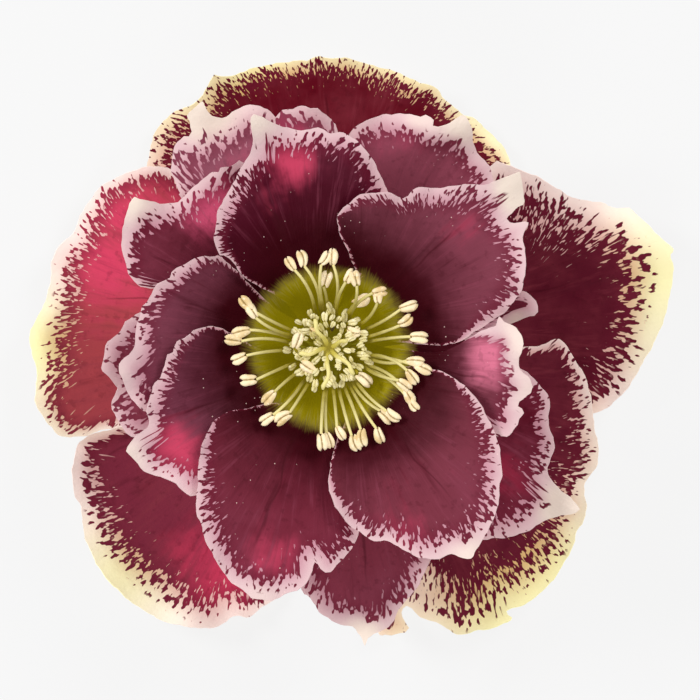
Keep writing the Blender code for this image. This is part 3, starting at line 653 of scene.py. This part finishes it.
def filled(line):
    """Points on the line and within it, and the triangles that join them."""
    reach = np.abs(line).max() + STEP
    rows = np.arange(-reach, reach, ROW_STEP)
    columns = np.arange(-reach, reach, STEP)
    grid = np.array([(x + 0.5 * STEP * (k % 2), y) for k, y in enumerate(rows) for x in columns])
    grid = grid[(grid > line.min(0)).all(1) & (grid < line.max(0)).all(1)]
    grid = grid[inside(grid, line)]
    grid = grid[margin_distance(grid, np.vstack([line, line[:1]])) > CLEAR_OF_LINE]
    flat = [Vector(p) for p in np.vstack([line, grid])]
    corners, _, faces, *_ = delaunay_2d_cdt(flat, [], [range(len(line))], 1, 1e-6)
    return np.array([tuple(c) for c in corners]), faces


print("flat sheets ready")

# %% [markdown]
# The sheet is then set on its ring's bowl. Real petals are soft: they fold, curl at a few spots, ripple
# along the margin and have a shallow groove down the middle. Each of these is a small formula added to
# the height.

# %% Height
THICK, THIN = 0.38, 0.14           # mm, in the middle and at the margin
LOWEST = THICK / 2 + 0.01          # keeps the under side off the surface
LIFT_STARTS, LIFT_FULL = 4.6, 8.0
CURL_SPREAD = 3.0
WAVE, WAVE_DEPTH, WAVES = 0.5, 3.0, 14
FINE_WAVE, FINE_DEPTH, FINE_WAVES = 0.1, 1.4, 46
GROOVE, GROOVE_WIDTH = 0.22, 0.5


def spots(places, marks):
    """How strongly each place is touched by marks of (x, y, strength, spread)."""
    total = np.zeros(len(places))
    for x, y, strength, spread in marks:
        away = np.hypot(places[:, 0] - x, places[:, 1] - y) / spread
        total += strength * np.exp(-away ** 2)
    return total


def blade_height(places, edge, spec, ring):
    """Millimetres over the surface at each place of a blade."""
    way = math.radians(spec["bearing"])
    r = np.hypot(*places.T)
    across = places @ np.array((-math.sin(way), math.cos(way)))
    folded = np.maximum(0.0, spec.get("fold", 0) * across)
    z = ring["height"](r) + (spec.get("lift", 0) + folded) * ease(r, LIFT_STARTS, LIFT_FULL)
    turn = np.arctan2(places[:, 1], places[:, 0]) - way
    outer = ease(np.cos(turn), 0.6, 0.9) * ease(r, *ring["waves"])
    z += WAVE * np.exp(-edge / WAVE_DEPTH) * outer * np.sin(WAVES * turn + way)
    z += FINE_WAVE * np.exp(-edge / FINE_DEPTH) * outer * np.sin(FINE_WAVES * turn + 2 * way)
    z += spots(places, [(*curl, CURL_SPREAD) for curl in spec["curls"]])
    z -= GROOVE * np.exp(-(across / GROOVE_WIDTH) ** 2) * ease(r, 8, 12) * ease(edge, 1.5, 5)
    return np.maximum(z, LOWEST)


print("waves of", WAVE, "and", FINE_WAVE, "mm along the margins")

# %% [markdown]
# ## What the colouring needs to know
# A material sees only what its mesh carries. So each point of a blade gets a few measures: how far the
# margin is, how far out it lies, which way its streaks run, and how wide the rim and its fringe are. The
# streaks fan out from a hub halfway along the blade, so they meet the margin squarely all round. Towards
# the root the rim narrows to a thread.

# %% Measures
HUB_SHARE = 0.5                    # how far along the blade its hub lies
ROOT_RIM = 0.12                    # the share of the rim that is left towards the root
LEAST_FRINGE = 0.3                 # mm


def angle_about(places, hub, way):
    """The angle of each place seen from the hub, 0 straight along the blade."""
    away = places - hub
    return np.arctan2(away[:, 1] * math.cos(way) - away[:, 0] * math.sin(way),
                      away[:, 0] * math.cos(way) + away[:, 1] * math.sin(way))


def measures(places, edge, line, spec, ring):
    """Values by name for each place of a blade, which its materials read as attributes."""
    def marked(key):
        return spots(places, spec.get(key, ()))

    way = math.radians(spec["bearing"])
    onward = np.array((math.cos(way), math.sin(way)))
    hub = onward * (line @ onward).max() * HUB_SHARE
    from_hub = angle_about(places, hub, way)
    r = np.hypot(*places.T)
    rim = ring["rim"](r) * (ROOT_RIM + (1 - ROOT_RIM) * ease(np.cos(from_hub), -0.75, 0.05))
    return {
        "edge": edge,
        "reach": r,
        "fan": angle_about(places, 0.9 * ROOT_RADIUS * onward, way),
        "streak": from_hub * np.hypot(*(line - hub).T).mean(),
        "band": spec.get("band", ring["band"]) * rim + marked("pale"),
        "depth": np.maximum(spec.get("fringe", ring["fringe"]) * rim + marked("deeper"), LEAST_FRINGE),
        "fine": np.full(len(places), spec.get("fine", 1.0)),
        "glow": np.clip(marked("glow"), 0, 1),
        "lemon": np.clip(marked("lemon"), 0, 1),
    }


print("measures ready")

# %% [markdown]
# ## One blade
# The maker puts it together. Solidify gives the sheet a thickness that follows a vertex group, and so
# thins out to the margin, and puts the second material on the under side. It is applied at once.

# %% Blade maker
FLESHY = 1.6                       # mm from the margin to where the blade is full thick


def thicken(made, edge):
    body = made.vertex_groups.new(name="body")
    for k, share in enumerate(ease(edge, 0.0, FLESHY)):
        body.add([k], THIN / THICK + (1 - THIN / THICK) * share, "REPLACE")
    wall = made.modifiers.new("thickness", "SOLIDIFY")
    wall.thickness = THICK * MM
    wall.offset = 0.0
    wall.vertex_group = "body"
    wall.material_offset = 1
    wall.material_offset_rim = 0
    bpy.context.view_layer.objects.active = made
    made.select_set(True)
    bpy.ops.object.modifier_apply(modifier=wall.name)
    bpy.ops.object.shade_smooth_by_angle(angle=math.radians(50))
    made.select_set(False)


def blade(name, spec, ring):
    line = blade_line(name, spec, ring)
    places, faces = filled(line)
    edge = margin_distance(places, line)
    z = blade_height(places, edge, spec, ring)
    mesh = bpy.data.meshes.new(name)
    points = np.column_stack([places * MM + np.array(AXIS.xy), z * MM])
    mesh.from_pydata(points.tolist(), [], faces)
    for key, values in measures(places, edge, line, spec, ring).items():
        mesh.attributes.new(key, "FLOAT", "POINT").data.foreach_set("value", values.astype(np.float32))
    for key, code in (("field", spec["field"]), ("light", spec.get("light", ring["light"]))):
        own = np.tile(tint(code), (len(places), 1)).astype(np.float32)
        mesh.attributes.new(key, "FLOAT_COLOR", "POINT").data.foreach_set("color", own.ravel())
    for look in ring["looks"]:
        mesh.materials.append(look)

    made = bpy.data.objects.new("fine_" + name, mesh)
    bpy.context.scene.collection.objects.link(made)
    thicken(made, edge)
    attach(made, "root")
    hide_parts(name)
    print(name, len(mesh.polygons), "faces")


print("blade maker ready")

# %% [markdown]
# ## The fringe of flecks
# Seen close, the dark colour doesn't fade into the pale rim. It breaks up into flecks and dashes that
# point outwards, first touching, then alone on the pale ground. So the pattern is one noise, squeezed
# across the streaks and stretched along them, set against how deep a point lies in the fringe: near the
# rim only its highest peaks are dark, further in only its deepest hollows stay pale. A slower noise
# bundles the flecks into tongues.

# %% Fringe
def fringe(paint, width, length, fade):
    """1 in the dark field and its flecks, 0 on the pale ground, and the depth in the fringe."""
    edge, streak, fine = (paint.attribute(name) for name in ("edge", "streak", "fine"))
    across, inwards = streak * fine / width, edge * fine / length
    fleck = paint.swing(paint.place(across, inwards, 3.0), 1.2)
    tongue = paint.swing(paint.place(across / 9.0, inwards / 3.0, 9.0))
    depth = (edge - paint.attribute("band")) / paint.attribute("depth")
    dark = paint.step(depth * 3.2 - 1.25 + fleck * 1.1 + tongue * 0.4, -0.25, 0.25)
    dark = dark * paint.step(depth, -0.25, -0.05)
    dash = paint.swing(paint.place(across * 1.5, inwards * 0.8, 21.0), 1.5)
    pale_dash = paint.step(dash - depth * fade, 0.15, 0.5) * paint.step(depth, 0.3, 0.7)
    return dark * (1.0 - pale_dash), depth


print("fringe ready")

# %% [markdown]
# ## The dark flesh
# Behind the flecks a petal is one dark field of wine red. Towards its root it turns near black, which is
# deeper pigment and painted shade from the petals above, and further out it takes on a paler mauve, which
# is a painted sheen. Veins and fibres fan out over it: noises read in the blade's own directions, so that
# they run along it, and the painted sheen shows in streaks between the veins and along the fibres. Pores
# darken it, and so does a line down the middle, a dark midrib vein with painted shade in its crease.
# Where a glow is marked, the painted colour of light through thin flesh takes over.

# %% Dark flesh
MOTTLES, PORES, RIPPLES, FINEST = 170.0, 900.0, 90.0, 2400.0    # to a metre
DARK_AND_SHADED_ROOT, VEIN, FLECK = tint("36040e"), tint("38060f"), tint("64182c")


def vein_lines(paint, fan, reach):
    """Soft lines that fan out from the blade's root."""
    return paint.noise(paint.place(fan * 16.0, reach * 0.09, 1.0), 1.0, 3.0, 0.65)


def flesh(paint, fan, reach, depth, mottle, dark_and_shaded_root_reach, outer):
    """The colour of the dark field, and the height of its fine relief."""
    position = paint.position()
    pores = paint.noise(position, PORES, 2.0, 0.6)
    fibres = paint.noise(paint.place(fan * 60.0, reach * 0.16, 2.0), 1.0, 2.0, 0.6)
    veins = vein_lines(paint, fan, reach)

    # Painted sheen: the outer parts take on the paler mauve outer colour, broken up by the mottle.
    painted_sheen_outwards = paint.step(reach, 16.0, 28.0) * paint.step(mottle, 0.3, 0.7)
    field = paint.blend(paint.attribute("field", "Color"), outer, painted_sheen_outwards * 0.35)
    glow = paint.attribute("glow") + (veins + mottle - 1.0) * 0.9
    field = paint.blend(field, paint.attribute("light", "Color"), paint.step(glow, 0.15, 0.95))
    # Near black towards the root: deeper pigment and painted shade from the petals above.
    colour = paint.blend(DARK_AND_SHADED_ROOT, field, paint.step(reach + (mottle - 0.5) * 8.0, *dark_and_shaded_root_reach))

    colour = paint.blend(colour, VEIN, paint.step(veins, 0.53, 0.78) * 0.45)
    # Painted sheen in streaks: lighter mauve between the veins and along the fibres.
    painted_sheen_between_veins = (1.0 - paint.step(veins, 0.3, 0.46)) * paint.step(reach, 12.0, 20.0)
    colour = paint.blend(colour, outer, painted_sheen_between_veins * 0.35)
    painted_sheen_on_fibres = paint.step(fibres, 0.54, 0.72) * paint.step(mottle, 0.4, 0.6)
    colour = paint.blend(colour, outer, painted_sheen_on_fibres * paint.step(reach, 12.0, 22.0) * 0.22)
    colour = paint.blend(colour, VEIN, paint.step(pores, 0.56, 0.7) * 0.22)

    # A dark line down the midrib: vein colour and painted shade in its crease.
    wander = fan + (paint.noise(position, RIPPLES, 1.5) - 0.5) * 0.4
    midrib_vein_and_shade = (1.0 - paint.step(wander.size() * reach, 0.04, 0.3)) * paint.step(depth, 1.5, 3.0)
    colour = paint.blend(colour, VEIN, midrib_vein_and_shade * paint.step(reach, 9.0, 13.0) * 0.4)
    colour = paint.blend(colour, FLECK, (1.0 - paint.step(depth, 0.4, 1.4)) * 0.6)
    relief = veins + fibres * 0.5 + pores * 0.7 + paint.noise(position, FINEST, 1.0) * 0.3
    return colour, relief


print("dark flesh ready")

# %% [markdown]
# ## The pale rim
# The rim is clean along the margin and stained between the flecks. Broad tips are creamier than narrow
# rims, and where lemon is marked the rim turns yellow and the stain gold.

# %% Pale rim
PALE_EDGE, PALE_TIP, MAUVE = tint("d7b8ba"), tint("e9d9cb"), tint("b97d8e")
CREAM_EDGE, CREAM_TIP, BLUSH = tint("ecd8d0"), tint("f8ecdc"), tint("cf9c98")
LEMON, GOLD = tint("f8f2b6"), tint("c79c48")


def pale_ground(paint, dark_flesh, depth, edge_colour, tip_colour, between):
    lemon = paint.attribute("lemon")
    edging = paint.blend(edge_colour, tip_colour, paint.step(paint.attribute("band"), 0.7, 2.0))
    edging = paint.blend(edging, LEMON, lemon)
    stain = paint.blend(between, GOLD, lemon * 0.8)
    ground = paint.blend(edging, stain, paint.step(depth, -0.3, 0.8) * 0.85)
    return paint.blend(ground, dark_flesh, paint.step(depth, 0.7, 2.0) * 0.65)


print("pale rim ready")

# %% [markdown]
# ## Pollen and throat
# Ripe anthers drop pollen on the petals: dots from a Voronoi pattern, kept only where a slow noise lets
# them lie. The petals' claws close into a green throat with a hairy border, so the radius that it is cut
# at is shaken by a noise that runs outwards.

# %% Pollen and throat
POLLEN, THROAT, CLAW = tint("f0d2c8"), tint("918408"), tint("a4984c")
GRAINS, DRIFTS = 1000.0, 130.0     # to a metre


def pollen_grains(paint):
    where = {"Vector": paint.position(), "Scale": GRAINS}
    grain = paint.node("ShaderNodeTexVoronoi", {}, where, "Distance")
    drift = paint.step(paint.noise(paint.position(), DRIFTS, 1.0), 0.53, 0.6)
    return drift * (1.0 - paint.step(grain, 0.05, 0.09))


def green_throat(paint, colour, fan, reach, mottle):
    """The colour with the throat laid over it, and 1 within the throat."""
    hairs = paint.noise(paint.place(fan * 30.0, reach * 0.3, 5.0), 1.0, 2.0, 0.6)
    ragged = reach + (hairs - 0.5) * 1.8 + (mottle - 0.5) * 3.0
    within = 1.0 - paint.step(ragged, 8.6, 10.6)
    claw = paint.blend(THROAT, CLAW, paint.step(reach + (hairs - 0.5) * 6.0, 7.6, 11.6))
    return paint.blend(colour, claw, within), within


print("pollen and throat ready")

# %% [markdown]
# ## Faces and backs
# A face lays the flesh over the pale ground by the fringe. Light comes through real petals from behind,
# and a painted glow stands for that: a faint emission of the petal's own colour, stronger where a glow is
# marked and in the throat, where it also lifts the green out of its shade. The sepals lie outermost, so
# they have larger flecks, a stronger painted glow, which also lifts them out of the petals' shade, and no
# pollen.

# %% Faces
BLACK = tint("000000")


def face(name, dark_and_shaded_root_reach, flecks, pale, outer, power, pollen):
    paint = Paint(name, 0.5, 0.04)
    dark, depth = fringe(paint, *flecks)
    reach, fan = paint.attribute("reach"), paint.attribute("fan")
    mottle = paint.noise(paint.position(), MOTTLES, 3.0, 0.6)
    dark_flesh, relief = flesh(paint, fan, reach, depth, mottle, dark_and_shaded_root_reach, outer)
    colour = paint.blend(pale_ground(paint, dark_flesh, depth, *pale), dark_flesh, dark)
    colour = paint.blend(colour, POLLEN, pollen_grains(paint) * pollen)
    colour, within = green_throat(paint, colour, fan, reach, mottle)
    # Emission colour: a painted glow of the blade's own colour, stronger where a glow is marked and in
    # the throat.
    through = paint.blend(BLACK, colour, 0.4 + 0.35 * paint.attribute("glow") + 0.5 * within)
    return paint.use(colour, relief, 0.45, through, power)


# Each face's fourth colour is its painted sheen, the paler mauve that its outer parts take on.
SEPAL_FACE = face("sepal_face", (11.0, 22.0), (0.58, 1.2, 1.15), (CREAM_EDGE, CREAM_TIP, BLUSH),
                  tint("80343f"), 0.62, 0.0)
MIDDLE_FACE = face("middle_petal_face", (11.0, 19.0), (0.5, 0.95, 1.4), (PALE_EDGE, PALE_TIP, MAUVE),
                   tint("94485c"), 0.4, 0.2)
INNER_FACE = face("inner_petal_face", (11.0, 21.0), (0.5, 0.95, 1.4), (PALE_EDGE, PALE_TIP, MAUVE),
                  tint("8a4054"), 0.3, 0.7)
print("faces ready")

# %% [markdown]
# The back has no flecks: the same veins run over a dusky body, green near the stalk, with a faint painted
# glow of its own colour.

# %% Backs
GREEN_ROOT, BACK_VEIN = tint("8d8f52"), tint("7c3b4a")


def back(name, body, edge_colour, power):
    paint = Paint(name, 0.6, 0.05)
    fan, reach, edge = (paint.attribute(key) for key in ("fan", "reach", "edge"))
    veins = vein_lines(paint, fan, reach)
    colour = paint.blend(edge_colour, body, paint.step(edge + (veins - 0.5) * 3.0, 0.6, 3.4))
    rooted = 1.0 - paint.step(reach + (veins - 0.5) * 6.0, 6.0, 14.0)
    colour = paint.blend(colour, GREEN_ROOT, rooted)
    colour = paint.blend(colour, BACK_VEIN, paint.step(veins, 0.55, 0.72) * 0.5)
    # The back emits its own colour faintly: a painted glow.
    return paint.use(colour, veins, 0.5, colour, power)


PETAL_BACK = back("petal_back", tint("b58089"), tint("ead3d0"), 0.2)
SEPAL_BACK = back("sepal_back", tint("9c6a66"), tint("e2d6b8"), 0.3)
print("backs ready")

# %% [markdown]
# ## Making the three rings
# What differs between the rings is little: the bowl, the width of the roots, how wide the pale rim gets
# and the paint. So each ring is one small record, and one loop makes all twenty blades. The roots are
# wider than in the solids, because here they may touch and close the throat.

# %% Blades
def petal_rim(r):
    return 0.06 + 0.94 * ease(r, 12.5, 22.5)


def sepal_rim(r):
    return 0.2 + 0.8 * ease(r, 14, 28)


RINGS = (
    dict(blades=SEPALS, slot="sepal", height=sepal_height, waves=(26, 32), root_half_width=2.3,
         looks=(SEPAL_FACE, SEPAL_BACK), rim=sepal_rim, band=0.7, fringe=3.4, light="c8405e"),
    dict(blades=MIDDLE, slot="middle_petal", height=middle_height, waves=(12, 20), root_half_width=1.5,
         looks=(MIDDLE_FACE, PETAL_BACK), rim=petal_rim, band=0.2, fringe=2.5, light="c04c6c"),
    dict(blades=INNER, slot="inner_petal", height=inner_height, waves=(12, 20), root_half_width=1.7,
         looks=(INNER_FACE, PETAL_BACK), rim=petal_rim, band=0.1, fringe=2.5, light="b83c58"),
)
for ring in RINGS:
    for name, spec in ring["blades"].items():
        blade(name, spec, ring)

# %% [markdown]
# ## Anthers
# A ripe anther is two lobes with a dark groove between, like a coffee bean: a sphere that is flattened,
# notched at both ends and sunk along its middle. Some open and some bend, so one formula makes four
# shapes. An attribute remembers where the groove is.

# %% Anther
ANTHER_LENGTH, ANTHER_WIDTH, ANTHER_DEPTH = 2.5, 1.45, 1.0


def anther_mesh(open_by, bend):
    """An anther along +Y with its groove on top: open_by parts its lobes."""
    bpy.ops.mesh.primitive_uv_sphere_add(segments=20, ring_count=14, radius=0.5 * MM)
    bean = bpy.context.object
    groove = bean.data.attributes.new("groove", "FLOAT", "POINT").data
    for corner in bean.data.vertices:
        x, y, z = (v / (0.5 * MM) for v in corner.co)
        middle = math.exp(-(x / 0.2) ** 2)
        fat = 1 + 0.1 * math.sin(3 * y) + 0.25 * open_by * abs(y)
        notch = 1 - (0.3 + 0.4 * open_by) * middle * abs(y) ** 3
        sunk = 1 - 0.7 * middle if z > 0 else 1 - 0.25 * middle
        groove[corner.index].value = middle if z > -0.2 else 0.0
        corner.co = ((x * fat * ANTHER_WIDTH + bend * y * y) * 0.5 * MM,
                     y * notch * ANTHER_LENGTH * 0.5 * MM,
                     (z * sunk * ANTHER_DEPTH - 0.3 * abs(bend) * y * y) * 0.5 * MM)
    mesh = bean.data
    bpy.data.objects.remove(bean)
    return mesh


SHAPES = [anther_mesh(0.0, 0.0), anther_mesh(0.6, 0.25), anther_mesh(0.25, -0.45), anther_mesh(1.0, 0.1)]
print(len(SHAPES), "anther shapes of", len(SHAPES[0].polygons), "faces")

# %% [markdown]
# ## Threads and bunches
# A stamen's thread is a curve with a round bevel, and all the threads of a ring are turned into one
# mesh. The anthers are copies of the four shapes, each with its own mesh, laid along their threads' ends
# and joined into one piece.

# %% Thread and bunch tools
def around(r, z, bearing):
    return Vector((r * math.cos(bearing), r * math.sin(bearing), z))


def threads(name, paths, material, sides=3):
    """Paths of (place, radius) points in mm from the axis, as smooth round threads in one mesh."""
    curve = bpy.data.curves.new(name, "CURVE")
    curve.dimensions = "3D"
    curve.bevel_depth = MM
    curve.bevel_resolution = sides
    curve.use_fill_caps = True
    curve.resolution_u = 5
    for path in paths:
        spline = curve.splines.new("BEZIER")
        spline.bezier_points.add(len(path) - 1)
        for point, (place, radius) in zip(spline.bezier_points, path):
            point.co = place * MM + AXIS
            point.radius = radius
            point.handle_left_type = point.handle_right_type = "AUTO"
    made = bpy.data.objects.new(name, curve)
    bpy.context.scene.collection.objects.link(made)
    made.select_set(True)
    bpy.context.view_layer.objects.active = made
    bpy.ops.object.convert(target="MESH")
    made = bpy.context.object
    made.data.materials.clear()
    made.data.materials.append(material)
    bpy.ops.object.shade_smooth_by_angle(angle=math.radians(60))
    made.select_set(False)
    return made


def gather(name, copies, material):
    """Copies of meshes, each (mesh, matrix, age), joined into one piece."""
    made = []
    for mesh, matrix, age in copies:
        own = mesh.copy()
        own.transform(matrix)
        values = np.full(len(own.vertices), age, np.float32)
        own.attributes.new("age", "FLOAT", "POINT").data.foreach_set("value", values)
        bean = bpy.data.objects.new(name, own)
        bpy.context.scene.collection.objects.link(bean)
        bean.select_set(True)
        made.append(bean)
    bpy.context.view_layer.objects.active = made[0]
    bpy.ops.object.join()
    bunch = bpy.context.object
    bunch.name = name
    bunch.data.materials.clear()
    bunch.data.materials.append(material)
    bpy.ops.object.shade_smooth()
    bunch.select_set(False)
    return bunch


def pose(tip, onward, roll, size):
    """A matrix that sets an anther's near end at tip, lying along onward."""
    forward = onward.normalized()
    side = forward.cross(Vector((0, 0, 1))).normalized()
    up = side.cross(forward)
    turn = Matrix((side, forward, up)).transposed().to_4x4() @ Matrix.Rotation(roll, 4, "Y")
    middle = tip + forward * 0.42 * ANTHER_LENGTH * size
    return Matrix.Translation(middle * MM + AXIS) @ turn @ Matrix.Scale(size, 4)


print("thread and bunch tools ready")

# %% [markdown]
# The anthers are matt cream in patches of a lit and a shaded tone, which are painted light and shade,
# browner in the groove and dark where one has withered. Threads and styles are green at the foot and pale
# further out, so their colour follows the distance to the bloom's axis. All of them also glow faintly in
# their own colour, a painted glow.

# %% Stamen finishes
POLLEN_DUST, GROOVE_BROWN, WITHERED_BROWN = tint("fff4dc"), tint("8a6f34"), tint("3a2c14")
FINE_RELIEF = 0.0001               # m


def cream(name, light, shade, groove, power):
    paint = Paint(name, 0.7, 0.2)
    grain = paint.noise(paint.position(), 2600.0, 2.0)
    # Patches of a lit and a shaded cream: painted light and shade.
    painted_light_patches = paint.noise(paint.position(), 420.0, 2.0)
    colour = paint.blend(shade, light, paint.step(painted_light_patches, 0.3, 0.6))
    colour = paint.blend(colour, POLLEN_DUST, paint.step(grain, 0.55, 0.7) * 0.5)
    line = paint.step(paint.attribute("groove"), 0.35, 0.95)
    colour = paint.blend(colour, GROOVE_BROWN, line * groove)
    colour = paint.blend(colour, WITHERED_BROWN, paint.attribute("age"))
    # The anther emits its own colour faintly: a painted glow.
    return paint.use(colour, grain, 0.4, colour, power, FINE_RELIEF)


def stalk_green(name, low_colour, high_colour, reaches, power):
    """Greener near the axis and paler further out."""
    paint = Paint(name, 0.5, 0.25)
    aside = {0: paint.position(), 1: tuple(AXIS)}
    away = paint.node("ShaderNodeVectorMath", {"operation": "SUBTRACT"}, aside)
    flat = paint.node("ShaderNodeVectorMath", {"operation": "MULTIPLY"}, {0: away, 1: (1, 1, 0)})
    r = paint.node("ShaderNodeVectorMath", {"operation": "LENGTH"}, {0: flat}, "Value") / MM
    grain = paint.noise(paint.position(), 900.0, 2.0)
    colour = paint.blend(low_colour, high_colour, paint.step(r + (grain - 0.5) * 2.0, *reaches))
    # The thread emits its own colour faintly: a painted glow.
    return paint.use(colour, grain, 0.15, colour, power, FINE_RELIEF)


ANTHER_CREAM = cream("anther_cream", tint("f6e3bc"), tint("d9bc86"), 0.8, 0.18)
YOUNG_CREAM = cream("young_cream", tint("e2d8a6"), tint("bcb06c"), 0.35, 0.28)
FILAMENT = stalk_green("filament", tint("8c7e14"), tint("d8cc8c"), (4.0, 10.0), 0.25)
STYLE = stalk_green("style", tint("b3a648"), tint("d6ca84"), (0.3, 3.0), 0.35)
print("stamen finishes ready")

# %% [markdown]
# ## Ripe stamens
# The ripe stamens can be told apart in the photograph, so each anther has its place here, with a few
# half-grown ones nearer the middle. Each thread rises from the collar on the knob and arches out to it.
# Sizes, swerves and turns come from a seeded draw, which is the same in every run.

# %% Ripe stamens
COLLAR = KNOB_TOP + 0.8
RIPE_TOP = 21.0
ROOT_RING, CLOSE_ROOT_RING = 3.45, 2.6     # mm, where the threads stand
THREAD, THREAD_TAPER, THREAD_FOOT = 0.23, 0.06, 0.27
SMALL = 0.78                               # below this size an anther is still closed
RIPE = [  # mm from the axis
    (-4.5, 10.3), (-3.2, 10.8), (-1.0, 11.0), (0.6, 11.0), (2.3, 8.9), (3.8, 8.4), (5.9, 7.4),
    (6.6, 6.1), (9.5, 5.1), (9.5, 3.0), (10.8, 1.5), (10.4, -1.7), (11.4, -2.3), (10.4, -3.0),
    (9.3, -4.3), (10.1, -5.5), (10.5, -6.8), (7.6, -8.3), (6.8, -8.3), (6.2, -10.5), (4.2, -10.7),
    (3.0, -11.5), (1.1, -10.5), (-0.3, -11.2), (-1.0, -11.3), (-5.2, -8.6), (-7.3, -8.8),
    (-7.3, -5.9), (-9.6, -4.2), (-10.9, -1.0), (-11.5, 0.9), (-10.5, 2.4), (-10.1, 5.0), (-9.7, 4.0)]
HALF_GROWN = [(-0.7, 8.4), (3.5, 6.1), (3.0, 3.0), (-2.2, -3.8), (4.3, -3.8), (-3.1, 3.1), (-5.2, 0.0)]

chance = random.Random(4)
paths, beans = [], []
for k, (x, y) in enumerate(RIPE + HALF_GROWN):
    ripe = k < len(RIPE)
    bearing = math.atan2(y, x)
    size = chance.uniform(0.78, 1.02) if ripe else chance.uniform(0.7, 1.0)
    top = RIPE_TOP + chance.uniform(-0.5, 0.6) if ripe else chance.uniform(18.0, 19.4)
    reach = max(Vector((x, y)).length - 0.45 * ANTHER_LENGTH, 2.2)
    foot = ROOT_RING if reach > 3.6 else CLOSE_ROOT_RING
    root = around(foot, COLLAR, bearing + chance.uniform(-0.15, 0.15))
    swerve = chance.uniform(-0.13, 0.13)
    path = [(root, THREAD_FOOT)]
    for share in (0.3, 0.6, 0.85, 1.0):
        r = root.xy.length + (reach - root.xy.length) * share ** 1.2
        z = COLLAR + (top - COLLAR) * math.sin(share * math.pi / 2) ** 0.85
        side = swerve * math.sin(share * math.pi)
        path.append((around(r, z, bearing + side), THREAD - THREAD_TAPER * share))
    paths.append(path)
    tip = path[-1][0]
    onward = tip - path[-2][0]
    onward.z *= chance.uniform(-0.4, 0.6)
    onward += Vector((chance.uniform(-0.5, 0.5), chance.uniform(-0.5, 0.5), 0))
    shape = SHAPES[0] if size < SMALL else chance.choice(SHAPES)
    beans.append((shape, pose(tip, onward, chance.uniform(-0.7, 0.7), size), 0.0))
filaments = threads("filaments", paths, FILAMENT)
anthers = gather("ripe_anthers", beans, ANTHER_CREAM)
for piece in (filaments, anthers):
    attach(piece, "root")
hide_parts("outer_stamens")
print(len(paths), "stamens")

# %% [markdown]
# ## Young stamens
# The youngest stamens crowd the middle: short threads with small, paler beans that touch each other.
# They stand on rings that grow outwards, with a seeded shake so that no two bunches look alike. Here and
# there one has withered and turned dark.

# %% Young stamens
YOUNG_RINGS = (  # radius and height in mm, with how many stand there in between
    (0.8, 5, 18.4), (1.4, 10, 18.5), (2.0, 14, 18.4), (2.6, 18, 18.3), (3.2, 21, 18.1), (3.8, 23, 17.8),
    (4.3, 16, 17.3))
WITHERED = 0.04                            # the share of them that has withered
paths, beans = [], []
for radius, count, top in YOUNG_RINGS:
    for k in range(count):
        bearing = math.tau * (k + chance.uniform(-0.35, 0.35)) / count
        r = radius + chance.uniform(-0.25, 0.25)
        tip = around(r, top + chance.uniform(-0.5, 0.4), bearing)
        root = around(min(0.6 * r + 0.6, 2.9), COLLAR, bearing)
        paths.append([(root, 0.22), (root.lerp(tip, 0.6), 0.2), (tip, 0.08)])
        onward = Vector((math.cos(bearing), math.sin(bearing), chance.uniform(-0.1, 1.0)))
        onward += Vector((chance.uniform(-0.9, 0.9), chance.uniform(-0.9, 0.9), 0))
        age = 1.0 if chance.random() < WITHERED else chance.uniform(0.0, 0.12)
        size = chance.uniform(0.34, 0.5) if r < 3.0 else chance.uniform(0.4, 0.58)
        shape = chance.choice(SHAPES[:2])
        beans.append((shape, pose(tip, onward, chance.uniform(-0.8, 0.8), size), age))
young_threads = threads("young_filaments", paths, FILAMENT, 1)
young_anthers = gather("young_anthers", beans, YOUNG_CREAM)
for piece in (young_threads, young_anthers):
    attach(piece, "root")
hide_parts("young_stamens")
print(len(paths), "young stamens")

# %% [markdown]
# ## Carpels
# In the very middle stand the green carpels, and each sends up a style that bends outwards over the
# young stamens and ends in a small pale stigma. The radius along one thread makes all three.

# %% Carpels and styles
STIGMAS = [(-3.5, -0.7), (-1.7, 3.4), (-0.7, -4.9), (3.0, -3.1), (2.2, 0.9)]
paths = []
for x, y in STIGMAS:
    bearing, reach = math.atan2(y, x), math.hypot(x, y)
    paths.append([
        (around(0.7, COLLAR, bearing), 0.75), (around(0.8, 14.5, bearing), 0.62),
        (around(0.6, 17.2, bearing), 0.32), (around(0.25 * reach + 0.3, 18.6, bearing), 0.26),
        (around(0.7 * reach, 19.4, bearing + 0.12), 0.22), (around(0.93 * reach, 19.4, bearing), 0.27),
        (around(reach, 19.2, bearing), 0.15)])
styles = threads("carpels_and_styles", paths, STYLE)
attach(styles, "root")
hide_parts("carpels")
print(len(paths), "carpels")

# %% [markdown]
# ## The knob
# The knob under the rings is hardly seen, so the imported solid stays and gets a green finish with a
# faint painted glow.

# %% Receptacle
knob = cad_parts["receptacle"]
knob.data.materials.clear()
knob.data.materials.append(stalk_green("knob", tint("7d7410"), tint("8a8420"), (2.0, 5.0), 0.4))
print("receptacle painted")
